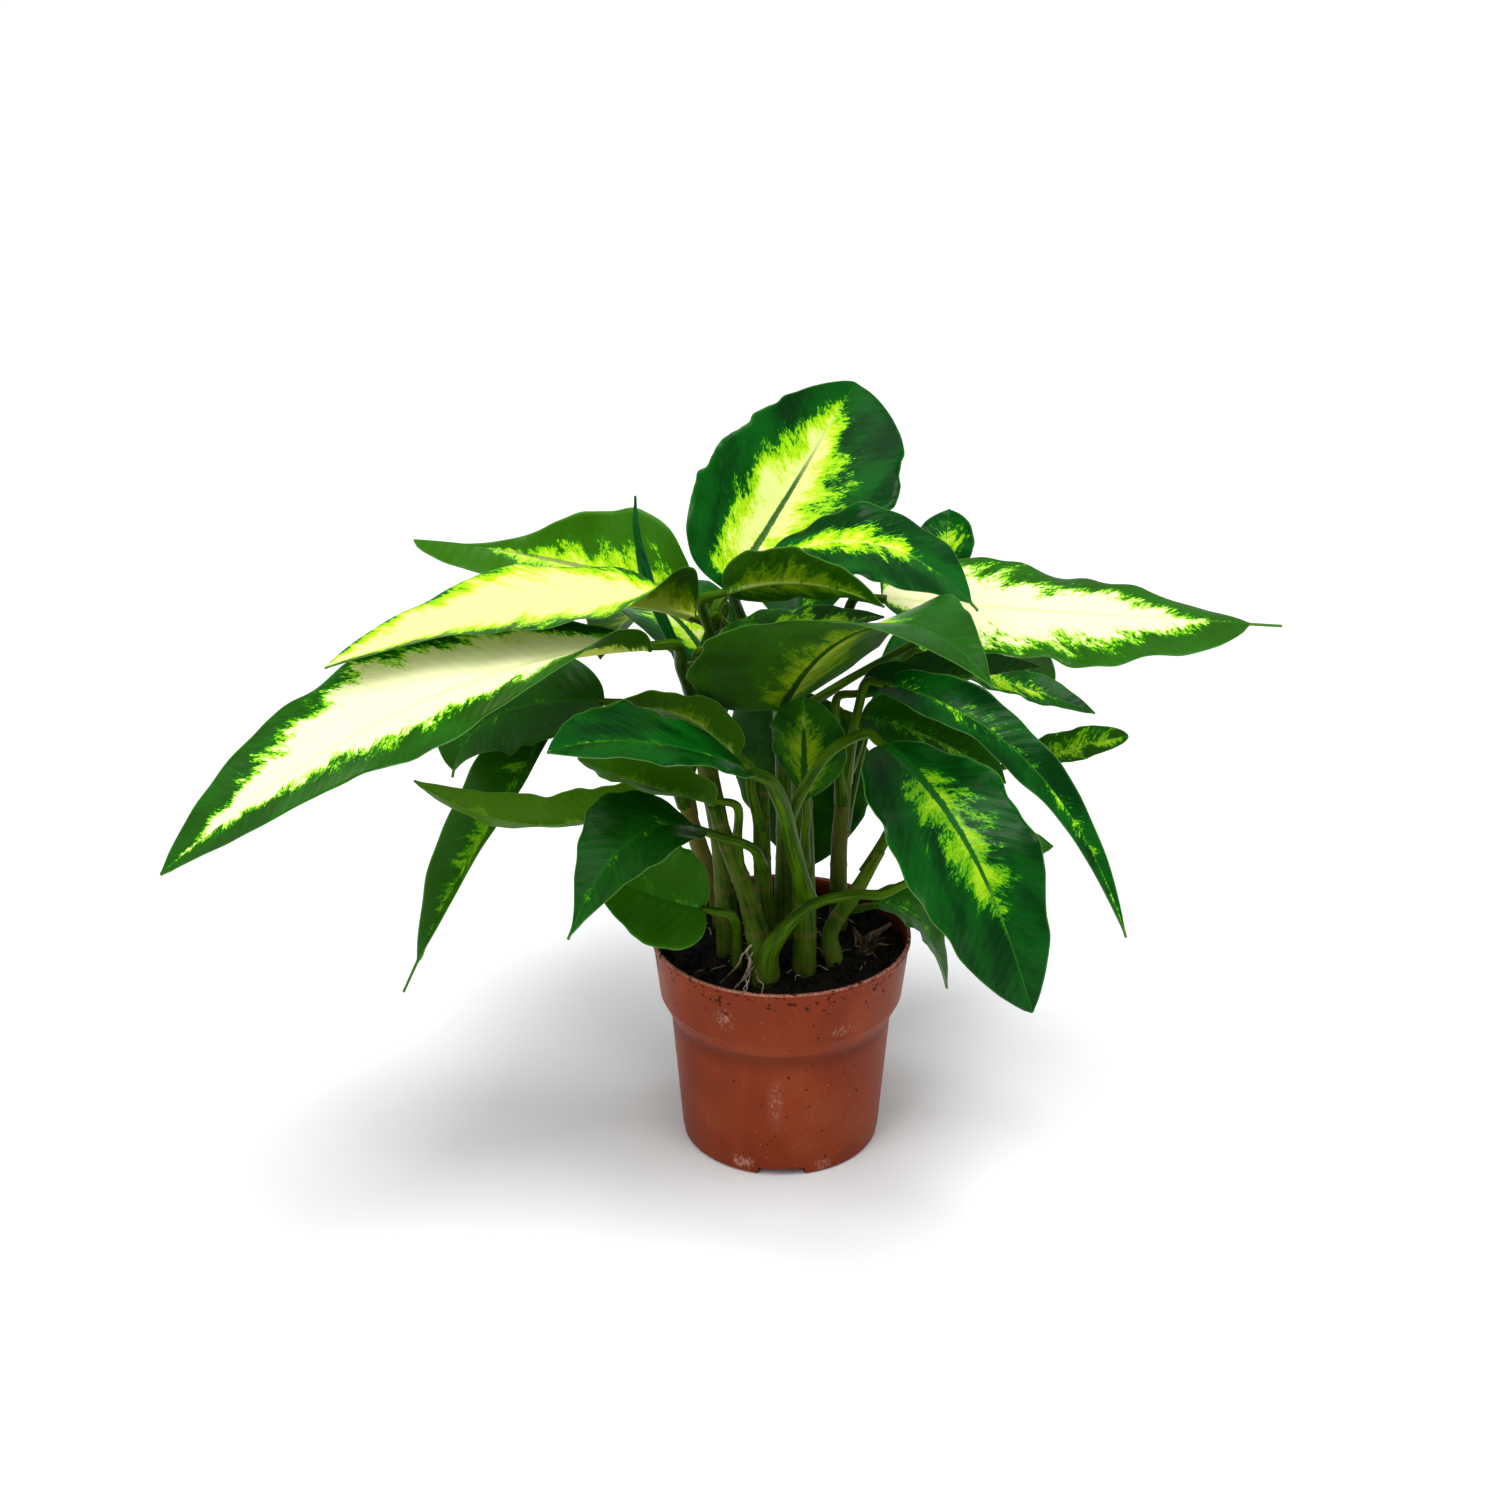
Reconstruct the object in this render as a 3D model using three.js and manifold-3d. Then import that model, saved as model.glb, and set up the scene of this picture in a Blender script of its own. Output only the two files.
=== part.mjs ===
// A potted dieffenbachia: a nursery pot full of soil, canes with sheathed petioles and broad leaves.
// Millimetres, +Z up, pot foot on the floor at the origin, the fullest side of the plant facing -Y.
import * as THREE from "three";
import Module from "manifold-3d";

// ---- driving dimensions -------------------------------------------------------------------
const POT_HEIGHT = 103; // foot to rim
const POT_RIM_R = 60; // outer radius of the rim
const POT_FOOT_R = 46.4; // outer radius at the foot
const POT_WALL = 1.2; // wall thickness
const POT_FLOOR = 1.6; // floor thickness
const COLLAR_Z = 74.5; // height of the lower edge of the collar
const COLLAR_R = 56.4; // radius of the collar at that edge
const STEP_Z = 64; // height where the collar's underside meets the body
const STEP_R = 51.4; // radius of the body there
const NOTCH_COUNT = 4; // drain pockets round the foot
const NOTCH_WIDTH = 22;
const NOTCH_HEIGHT = 4;
const NOTCH_DEPTH = 7;
const SOIL_Z = 95; // mean height of the soil
const SOIL_GAP = 0.35; // soil to pot wall
const HOLE_FLOOR_Z = 70; // floor of the holes the stems stand in
const HOLE_GAP = 0.8; // stem to the side of its hole
const BLADE = 0.8; // leaf thickness
const LEAF_GAP = 0.5; // petiole end to leaf
const FULL_FOLD_WIDTH = 5; // half width from which a leaf has its whole fold and cup
const CURL_END = 0.45; // share of the midrib over which a half that is curled up at its base opens
const DEG = Math.PI / 180;

const wasm = await Module();
wasm.setup();

// ---- solids -------------------------------------------------------------------------------
function solid(points, faces) {
  const vertProperties = new Float32Array(points.flat());
  const triVerts = new Uint32Array(faces.flat());
  return new wasm.Manifold(new wasm.Mesh({ numProp: 3, vertProperties, triVerts }));
}

function geometryOf(body) {
  const mesh = body.getMesh();
  const geometry = new THREE.BufferGeometry();
  const positions = new Float32Array(mesh.numVert * 3);
  for (let i = 0; i < mesh.numVert; i += 1)
    for (let k = 0; k < 3; k += 1)
      positions[3 * i + k] = mesh.vertProperties[mesh.numProp * i + k];
  geometry.setAttribute("position", new THREE.BufferAttribute(positions, 3));
  geometry.setIndex(new THREE.BufferAttribute(new Uint32Array(mesh.triVerts), 1));
  geometry.computeVertexNormals();
  return geometry;
}

function revolve(profile, segments) {
  return wasm.CrossSection.ofPolygons([profile]).revolve(segments);
}

// A closed skin over a grid of rings, with a fan over each end. The faces that turned picks out are
// split along their other diagonal.
function skin(rings, turned = () => false) {
  const sides = rings[0].length;
  const points = rings.flat();
  const faces = [];
  for (let i = 0; i + 1 < rings.length; i += 1)
    for (let j = 0; j < sides; j += 1) {
      const a = i * sides + j;
      const b = i * sides + ((j + 1) % sides);
      if (turned(j)) faces.push([a, b, a + sides], [b, b + sides, a + sides]);
      else faces.push([a, b, b + sides], [a, b + sides, a + sides]);
    }
  const last = (rings.length - 1) * sides;
  for (let j = 1; j + 1 < sides; j += 1) {
    faces.push([0, j + 1, j]);
    faces.push([last, last + j, last + j + 1]);
  }
  return solid(points, faces);
}

// ---- vectors ------------------------------------------------------------------------------
const vec = (a) => new THREE.Vector3(a[0], a[1], a[2]);
const smooth = (x) => x * x * (3 - 2 * x);

// A round stem along a smooth curve; radii are given at even steps of its length.
function stem(points, radii, sides, steps) {
  const curve = new THREE.CatmullRomCurve3(points.map(vec), false, "centripetal");
  const rings = [];
  let side = null;
  for (let i = 0; i <= steps; i += 1) {
    const u = i / steps;
    const centre = curve.getPointAt(u);
    const along = curve.getTangentAt(u).normalize();
    const start = Math.abs(along.x) < 0.9 ? new THREE.Vector3(1, 0, 0) : new THREE.Vector3(0, 1, 0);
    side = (side ?? start).clone().addScaledVector(along, -(side ?? start).dot(along)).normalize();
    const up = along.clone().cross(side);
    const at = u * (radii.length - 1);
    const k = Math.min(Math.floor(at), radii.length - 2);
    const radius = radii[k] + (radii[k + 1] - radii[k]) * smooth(at - k);
    const ring = [];
    for (let j = 0; j < sides; j += 1) {
      const angle = (2 * Math.PI * j) / sides;
      const p = centre.clone();
      p.addScaledVector(side, radius * Math.cos(angle));
      p.addScaledVector(up, radius * Math.sin(angle));
      ring.push(p.toArray());
    }
    rings.push(ring);
  }
  return skin(rings);
}

// ---- leaves -------------------------------------------------------------------------------
// The midrib is a curve through the points of path: a parabola through three, a cubic through
// four. Half the width at t along it is width / 2 times t^p (1 - t)^q over its own maximum. Each
// half of a cross-section is a circular arc that leaves the midrib at the angle fold and turns
// through cup towards the margin; roll leans the whole section round the midrib; wave ripples the
// margin; lobe draws the margin back at the base; curl folds a half up near its base. Fold and cup
// fade where the leaf is narrow.
function mix(points, weights) {
  const sum = new THREE.Vector3();
  points.forEach((p, i) => sum.addScaledVector(vec(p), weights[i]));
  return sum;
}

function midrib(path, t) {
  const [a, b, c, d] = path;
  const r = 1 - t;
  if (!d) {
    const control = mix(path, [-0.5, 2, -0.5]).toArray();
    const at = mix([a, control, c], [r * r, 2 * r * t, t * t]);
    return { at, along: mix([a, control, c], [-r, r - t, t]).normalize() };
  }
  const first = mix(path, [-5 / 6, 3, -1.5, 1 / 3]).toArray();
  const second = mix(path, [1 / 3, -1.5, 3, -5 / 6]).toArray();
  const hull = [a, first, second, d];
  const at = mix(hull, [r * r * r, 3 * r * r * t, 3 * r * t * t, t * t * t]);
  const along = mix(hull, [-r * r, r * r - 2 * r * t, 2 * r * t - t * t, t * t]);
  return { at, along: along.normalize() };
}

function leafFrame(leaf, t) {
  const { at, along } = midrib(leaf.path, t);
  const heading = vec(leaf.path.at(-1)).sub(vec(leaf.path[0])).setZ(0).normalize();
  const side = new THREE.Vector3(-heading.y, heading.x, 0);
  side.addScaledVector(along, -side.dot(along)).normalize();
  const up = along.clone().cross(side);
  const roll = (leaf.roll[0] + (leaf.roll[1] - leaf.roll[0]) * t) * DEG;
  const s = side.clone().multiplyScalar(Math.cos(roll)).addScaledVector(up, Math.sin(roll));
  const n = up.clone().multiplyScalar(Math.cos(roll)).addScaledVector(side, -Math.sin(roll));
  return { at, along, s, n };
}

const pick = (value, v) => (Array.isArray(value) ? value[v < 0 ? 0 : 1] : value);

function halfWidth(leaf, t, v) {
  const q = pick(leaf.taper ?? 0.85, v);
  const belly = pick(leaf.belly ?? 0.42, v);
  const p = (q * belly) / (1 - belly);
  const shape = (x) => Math.pow(x, p) * Math.pow(1 - x, q);
  const x = Math.min(1, Math.max(0, t / (1 - (leaf.drip ?? 0))));
  const wide = (leaf.width / 2) * pick(leaf.halves ?? 1, v) * (shape(x) / shape(belly));
  return Math.max(wide, 2 - 1.4 * t);
}

function leafPoint(leaf, t, v, offset) {
  const { at, along, s, n } = leafFrame(leaf, t);
  const sign = v < 0 ? -1 : 1;
  const a = Math.abs(v);
  const w = halfWidth(leaf, t, v);
  const flatter = Math.min(1, w / FULL_FOLD_WIDTH);
  const cup = (v < 0 ? leaf.cup[0] : leaf.cup[1]) * DEG * flatter;
  const curl = pick(leaf.curl ?? 0, v) * Math.pow(Math.max(0, 1 - t / CURL_END), 1.5);
  const fold = ((leaf.fold ?? 8) + curl) * DEG * flatter;
  const turn = Math.abs(cup) < 1e-3 ? 1e-3 : cup;
  const x = (w * (Math.sin(fold + turn * a) - Math.sin(fold))) / turn;
  const z = (w * (Math.cos(fold) - Math.cos(fold + turn * a))) / turn;
  const angle = fold + turn * a;
  const [amp, count, phase] = leaf.wave ?? [1.2, 3, 0];
  const fade = Math.sin(Math.PI * Math.min(1, t * 1.1)) * Math.min(1, w / 12);
  const ripple = amp * a * a * fade * Math.sin(2 * Math.PI * count * t + phase + sign * 0.9);
  const lobeSize = leaf.lobe ?? leaf.width * 0.1;
  const lobe = lobeSize * a * a * Math.pow(1 - t, 6) * Math.min(1, (2 * w) / leaf.width);
  const p = at.clone().addScaledVector(s, sign * x).addScaledVector(n, z + ripple);
  p.addScaledVector(along, -lobe);
  const normal = n.clone().multiplyScalar(Math.cos(angle)).addScaledVector(s, -sign * Math.sin(angle));
  return p.addScaledVector(normal, offset).toArray();
}

// A ring starts over the midrib, from where the fans that close the leaf see all of its section. Its
// upper side is its first three faces and its last two, split like the ones below them.
const OVER_RIB = 8;
const onUpperSide = (j) => j < 3 || j > 9;

function leafSolid(leaf) {
  const rows = leaf.rows ?? 13;
  const columns = [-1, -0.52, -0.07, 0.07, 0.52, 1];
  const rings = [];
  for (let i = 0; i <= rows; i += 1) {
    const u = i / rows;
    const t = 0.5 * u + 0.5 * (0.5 - 0.5 * Math.cos(Math.PI * u));
    const rib = 0.4 + 1.8 * (1 - t) * (1 - t) * Math.min(1, leaf.width / 50);
    const upper = columns.map((v) => leafPoint(leaf, t, v, BLADE / 2));
    const under = columns.map((v) => leafPoint(leaf, t, v, -BLADE / 2 - (Math.abs(v) < 0.1 ? rib : 0)));
    const ring = [...under, ...upper.reverse()];
    rings.push([...ring.slice(OVER_RIB), ...ring.slice(0, OVER_RIB)]);
  }
  return skin(rings, onUpperSide);
}

// name, base, mid and tip of the midrib; width; roll at base and tip, then cup of the right and
// left half (right is v < 0, seen from above with the tip ahead).
const LEAVES = {
  leaf_01: {
    path: [[-24, 20, 263], [4, 50, 300], [33, 72, 344]],
    width: 88, roll: [45, 45], cup: [20, 20], belly: [0.62, 0.37],
    taper: [0.5, 0.7], halves: [1, 0.92], wave: [3, 2.5, 0],
  },
  leaf_02: {
    path: [[-11, -6, 282], [19, -8, 294], [51, -17, 292], [82, -29, 271]],
    width: 58, roll: [10, 4], cup: [-20, 14], belly: 0.55,
    halves: [1.1, 0.85], drip: 0.03, wave: [2, 2.5, 0],
  },
  leaf_03: {
    path: [[-24, -24, 278], [9, -36, 286], [41, -52, 281]],
    width: 34, roll: [-60, -50], cup: [20, 10], belly: 0.36, rows: 11,
  },
  leaf_04: {
    path: [[-26, -18, 251], [6, -5, 253], [44, -3, 259]],
    width: 35, roll: [10, 5], cup: [15, 5], rows: 12,
  },
  leaf_05: {
    path: [[0, -8, 218], [13, -38, 252], [42, -78, 283], [80, -115, 270]],
    width: 92, roll: [-8, -2], cup: [5, 8], belly: [0.38, 0.37],
    taper: [1.15, 1.1], halves: [1.2, 1.04], lobe: 8,
  },
  leaf_06: {
    path: [[44, 15, 261], [124, 5, 258], [213, -20, 261]],
    width: 68, roll: [30, 10], cup: [5, -8], fold: -2, wave: [2.4, 3, 1],
    belly: [0.6, 0.32], taper: [0.5, 0.75], halves: [1.02, 1], drip: 0.07,
  },
  leaf_07: {
    path: [[72, 55, 245], [76, 68, 265], [78, 80, 282]],
    width: 28, roll: [0, 0], cup: [20, 20], belly: 0.6, rows: 11,
  },
  leaf_08: {
    path: [[-37, 38, 252], [-105, 42, 270], [-163, 27, 284]],
    width: 66, roll: [-60, -40], cup: [15, 10], belly: [0.26, 0.5],
    taper: [3.8, 0.4], halves: [0.96, 0.5], wave: [2, 3, 0],
  },
  leaf_09: {
    path: [[-39, -4, 259], [-100, -32, 274], [-185, -80, 265]],
    width: 66, roll: [-20, 2], cup: [0, 10], curl: [0, 120],
    belly: [0.5, 0.38], halves: [0.92, 0.96], wave: [2, 2.5, 0],
  },
  leaf_10: {
    path: [[-56, -36, 258], [-150, -84, 250], [-246, -130, 197]],
    width: 88, roll: [-20, -16], cup: [5, 15], curl: [0, 70],
    belly: [0.52, 0.46], halves: [0.76, 0.82], wave: [2.5, 3, 0],
  },
  leaf_11: {
    path: [[-79, -5, 220], [-126, -7, 214], [-145, -22, 191]],
    width: 64, roll: [-22, -22], cup: [10, 10], drip: 0.04, rows: 12,
  },
  leaf_12: {
    path: [[-100, -2, 210], [-133, -16, 163], [-172, -28, 87]],
    width: 40, roll: [-40, -30], cup: [20, 20], fold: 38, belly: [0.36, 0.5], drip: 0.08, wave: [1.6, 2, 0],
  },
  leaf_13: {
    path: [[-58, -32, 192], [-104, -50, 182], [-154, -68, 210]],
    width: 48, roll: [45, 40], cup: [10, 10], rows: 12,
  },
  leaf_14: {
    path: [[-15, -80, 220], [-56, -103, 242], [-93, -120, 245]],
    width: 58, roll: [0, 0], cup: [10, -10], rows: 12,
  },
  leaf_15: {
    path: [[-30, -52, 194], [-60, -66, 209], [-85, -74, 223]],
    width: 38, roll: [40, 40], cup: [10, 10], rows: 10,
  },
  leaf_16: {
    path: [[-20, -17, 201], [-49, -31, 227], [-82, -47, 231]],
    width: 50, roll: [34, 30], halves: [0.9, 0.68], cup: [10, 10], rows: 12,
  },
  leaf_17: {
    path: [[-36, -60, 184], [-64, -88, 191], [-89, -105, 155]],
    width: 50, roll: [-10, -10], cup: [15, 15], belly: [0.4, 0.42], taper: [1.7, 1.2], rows: 12,
  },
  leaf_18: {
    path: [[-34, -45, 138], [-58, -52, 149], [-82, -58, 164]],
    width: 50, roll: [-55, -50], cup: [15, 15], taper: 0.7, rows: 12,
  },
  leaf_19: {
    path: [[10, -32, 186], [9, -36, 212], [9, -34, 234]],
    width: 38, roll: [0, 0], cup: [16, 16], belly: 0.5, taper: 0.7, lobe: 0, rows: 11,
  },
  leaf_20: {
    path: [[41, -60, 223], [62, -94, 213], [81, -118, 186], [100, -130, 135]],
    width: 64, roll: [8, 18], cup: [15, 15], belly: 0.5,
    taper: 0.78, halves: [1.16, 0.84], wave: [2.4, 3.2, 0.3],
  },
  leaf_21: {
    path: [[45, -20, 234], [77, -42, 229], [114, -58, 200], [146, -75, 140]],
    width: 27, roll: [20, 30], cup: [20, 20], belly: 0.3, taper: 0.9, wave: [1.8, 3, 1],
  },
  leaf_22: {
    path: [[105, 30, 174], [131, 25, 184], [158, 20, 193]],
    width: 19, roll: [30, 40], cup: [20, 20], belly: 0.5, taper: 0.55, rows: 10,
  },
  leaf_23: {
    path: [[71, 50, 219], [112, 58, 202], [147, 50, 192]],
    width: 25, roll: [20, 20], cup: [15, 15], rows: 10,
  },
  leaf_24: {
    path: [[36, 6, 220], [74, 2, 228], [114, 0, 235]],
    width: 50, roll: [-44, -34], cup: [10, 10], rows: 11,
  },
  leaf_25: {
    path: [[54, -40, 148], [90, -30, 157], [120, -25, 159]],
    width: 34, roll: [20, 20], cup: [15, 15], rows: 10,
  },
  leaf_26: {
    path: [[43, 5, 114], [64, 8, 104], [78, 0, 73]],
    width: 32, roll: [5, 5], cup: [10, 10], rows: 9,
  },
  leaf_27: {
    path: [[36, 18, 203], [69, 13, 194], [102, 10, 174]],
    width: 42, roll: [30, 30], cup: [10, 10], rows: 10,
  },
  leaf_28: {
    path: [[3, 52, 203], [7, 64, 157], [11, 74, 99]],
    width: 76, roll: [0, 0], cup: [10, 10], belly: 0.5, taper: 0.7, rows: 11,
  },
  leaf_29: {
    path: [[-30, 62, 205], [-62, 112, 222], [-92, 158, 178]],
    width: 60, roll: [0, 0], cup: [15, 15], rows: 12,
  },
  leaf_30: {
    path: [[8, 74, 226], [12, 128, 244], [14, 184, 196]],
    width: 64, roll: [0, 0], cup: [15, 15], rows: 12,
  },
  leaf_31: {
    path: [[52, 70, 196], [98, 104, 210], [138, 140, 160]],
    width: 56, roll: [0, 0], cup: [15, 15], rows: 12,
  },
};

// ---- stems --------------------------------------------------------------------------------
// Each shoot is a cane and the petioles that leave it: the cane's path and radii, then for every
// petiole its leaf, how far up the cane it starts and its radii.
const SHOOTS = {
  shoot_1: [
    {
      path: [[-25, -8, 71], [-25, -8, 97], [-27, -8, 150], [-35, -3, 196], [-42, 0, 236]],
      radii: [5, 5, 4.5, 3.6],
    },
    { to: "leaf_10", path: [[-40, -1, 224], [-44, -14, 240]], radii: [3.2, 3, 2.6] },
    { to: "leaf_09", path: [[-40, -1, 224], [-34, -2, 246], [-29, -3, 260]], radii: [3, 2.6, 2.3] },
    { to: "leaf_08", path: [[-39, 0, 219], [-35, 14, 236]], radii: [3, 2.6, 2.3] },
    {
      path: [[-40, -1, 224], [-49, 8, 244], [-58, 13, 265], [-62, 15, 281], [-64, 15, 294], [-64, 15, 308]],
      radii: [2.2, 2.2, 2.4, 2.6, 1.5, 0.5],
    },
    { to: "leaf_04", path: [[-38, 1, 216], [-36, 4, 230]], radii: [3, 2.4, 2.2] },
    { to: "leaf_03", path: [[-38, 1, 216], [-31, 4, 241]], radii: [3, 2.8, 2.3] },
  ],
  shoot_2: [
    {
      path: [[-8, -34, 71], [-8, -34, 97], [-15, -27, 133], [-25, -23, 161], [-30, -22, 178]],
      radii: [6.4, 5.6, 4.2, 3.4],
    },
    { to: "leaf_13", path: [[-27, -22, 166], [-33, -23, 186]], radii: [3, 2.6, 2.2] },
    { to: "leaf_15", path: [[-19, -25, 142], [-20, -27, 161]], radii: [3, 2.4, 2] },
    {
      to: "leaf_25", path: [[-7, -35, 99], [-5, -39, 116], [12, -42, 138], [30, -43, 144]],
      radii: [5, 4.4, 3, 2.3],
    },
  ],
  shoot_3: [
    { path: [[-7, -12, 71], [-7, -12, 97], [-9, -14, 152], [-9, -10, 187]], radii: [4.5, 4.5, 4, 3.4] },
    { to: "leaf_17", path: [[-9, -14, 143], [-14, -40, 166]], radii: [3, 2.4, 2.2] },
    { to: "leaf_16", path: [[-9, -13, 161], [-14, -20, 186]], radii: [3, 2.4, 2.2] },
  ],
  shoot_4: [
    {
      path: [[10, -24, 71], [10, -24, 97], [10, -22, 131], [9, -4, 172], [8, 6, 197], [6, 10, 220]],
      radii: [5.5, 5.5, 5, 4.6, 3.8],
    },
    { to: "leaf_14", path: [[11, -23, 131], [4, -45, 170], [-1, -64, 198]], radii: [4, 3.6, 3.4] },
    { to: "leaf_20", path: [[0, -45, 174], [8, -50, 197], [21, -55, 219]], radii: [2.6, 2.5, 2.4] },
    { to: "leaf_19", path: [[10, -17, 143], [10, -28, 168]], radii: [3, 2.4, 2] },
    { to: "leaf_05", path: [[8, 5, 192], [2, 3, 207]], radii: [3.4, 3, 2.8] },
    { to: "leaf_02", path: [[6, 12, 213], [-8, 17, 234], [-19, 10, 256]], radii: [3.2, 2.8, 2.5] },
  ],
  shoot_5: [
    {
      path: [[24, -17, 71], [24, -17, 97], [22, -14, 109], [34, -8, 128], [45, 0, 145]],
      radii: [4.2, 4.2, 3.6, 2.6],
    },
    {
      to: "leaf_22", path: [[38, -4, 135], [47, 2, 149], [56, 9, 163], [73, 18, 172]],
      radii: [2.7, 2.5, 2.3, 2],
    },
  ],
  shoot_6: [
    { to: "leaf_18", path: [[-20, -22, 71], [-20, -22, 97], [-20, -26, 114]], radii: [3, 3, 2.6, 2.2] },
  ],
  shoot_7: [
    {
      path: [[-28, 20, 71], [-28, 20, 97], [-31, 18, 116], [-39, 14, 144], [-46, 8, 173]],
      radii: [4.2, 4.2, 4, 3.2],
    },
    { to: "leaf_12", path: [[-44, 10, 163], [-58, 4, 198], [-79, 6, 207]], radii: [3, 2.5, 2.2] },
    { to: "leaf_11", path: [[-44, 9, 166], [-49, 7, 196], [-58, 4, 212]], radii: [3, 2.5, 2.2] },
    { to: "leaf_29", path: [[-42, 12, 157], [-42, 36, 169]], radii: [3, 2.4, 2.2] },
  ],
  shoot_8: [
    {
      path: [[1, 10, 71], [1, 10, 97], [2, 14, 150], [0, 20, 200], [-3, 24, 228]],
      radii: [4.8, 4.8, 4.4, 4, 3.4],
    },
    { to: "leaf_01", path: [[-3, 24, 225], [-17, 24, 238]], radii: [3.2, 2.8, 2.4] },
    { to: "leaf_06", path: [[0, 20, 205], [24, 20, 235]], radii: [3.2, 2.8, 2.4] },
    { to: "leaf_07", path: [[0, 20, 200], [30, 50, 208]], radii: [3, 2.4, 2] },
    { to: "leaf_30", path: [[0, 20, 195], [0, 44, 218]], radii: [3, 2.6, 2.2] },
    { to: "leaf_28", path: [[1, 18, 180], [6, 34, 202]], radii: [3, 2.4, 2] },
  ],
  shoot_9: [
    { path: [[27, 16, 71], [27, 16, 97], [27, 18, 140], [30, 22, 178]], radii: [4.2, 4.2, 3.8, 3.2] },
    { to: "leaf_27", path: [[29, 21, 168], [28, 21, 186]], radii: [2.8, 2.3, 2] },
    { to: "leaf_24", path: [[28, 20, 160], [24, 8, 205]], radii: [3, 2.5, 2.1] },
    { to: "leaf_21", path: [[29, 21, 170], [34, 2, 215]], radii: [3, 2.5, 2.1] },
    { to: "leaf_23", path: [[30, 22, 175], [46, 38, 208]], radii: [3, 2.5, 2.1] },
    { to: "leaf_26", path: [[27, 17, 104], [28, 12, 111]], radii: [2.8, 2.4, 1.9] },
    { to: "leaf_31", path: [[28, 19, 145], [38, 44, 178]], radii: [3, 2.5, 2.1] },
  ],
  dead_stub: [
    { path: [[38, -6, 71], [38, -6, 97], [43, -7, 105], [50, -9, 112]], radii: [4, 4, 2.6, 0.7] },
    { path: [[38, -6, 94], [36, -8, 102], [33, -9, 110]], radii: [3, 2, 0.6] },
    { path: [[38, -6, 94], [42, -10, 100], [43, -13, 105]], radii: [3, 1.8, 0.5] },
  ],
};

// A petiole ends just short of its leaf, in line with the start of the midrib.
function stemPoints({ path, to }) {
  if (!to) return path;
  const { at, along } = midrib(LEAVES[to].path, 0);
  const near = at.clone().addScaledVector(along, -LEAF_GAP);
  const back = (d) => near.clone().addScaledVector(along, -d).toArray();
  return [...path, back(11), back(3), near.toArray()];
}

function shootSolid(stems) {
  const bodies = stems.map((one) => {
    const points = stemPoints(one);
    const sides = one.radii[0] > 3.5 ? 8 : 6;
    const radii = one.to ? [...one.radii, one.radii.at(-1)] : one.radii;
    return stem(points, radii, sides, one.to ? 6 : points.length + 1);
  });
  return wasm.Manifold.union(bodies);
}

// ---- pot and soil -------------------------------------------------------------------------
// Outer and inner outline as radius and height; each closes on the axis.
function potOutline(inset, floor, top, lip) {
  const t = inset;
  return [
    [0, floor],
    [POT_FOOT_R - 1.6 - t, floor],
    [POT_FOOT_R - t + 0.05, floor + 1.6],
    [STEP_R - t, STEP_Z - t * 0.4],
    [COLLAR_R - 0.8 - t, COLLAR_Z - 1.4 - t * 0.4],
    [COLLAR_R - t, COLLAR_Z - t * 0.2],
    [POT_RIM_R - 0.6 - t, POT_HEIGHT - 3],
    [POT_RIM_R - lip, POT_HEIGHT - 2.2],
    [POT_RIM_R - lip, top],
    [0, top],
  ];
}

function drainPockets(grow) {
  const boxes = [];
  for (let k = 0; k < NOTCH_COUNT; k += 1) {
    const size = [NOTCH_DEPTH * 2 + 2 * grow, NOTCH_WIDTH + 2 * grow, NOTCH_HEIGHT * 2 + 2 * grow];
    const box = wasm.Manifold.cube(size, true).translate([POT_FOOT_R, 0, 0]);
    boxes.push(box.rotate([0, 0, -90 + (360 * k) / NOTCH_COUNT]));
  }
  return wasm.Manifold.union(boxes);
}

function potSolid() {
  const outer = revolve(potOutline(0, 0, POT_HEIGHT, 0), 54).subtract(drainPockets(0));
  const hollow = revolve(potOutline(POT_WALL, POT_FLOOR, POT_HEIGHT + 1, POT_WALL + 0.3), 54);
  return outer.subtract(hollow.subtract(drainPockets(POT_WALL)));
}

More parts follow.
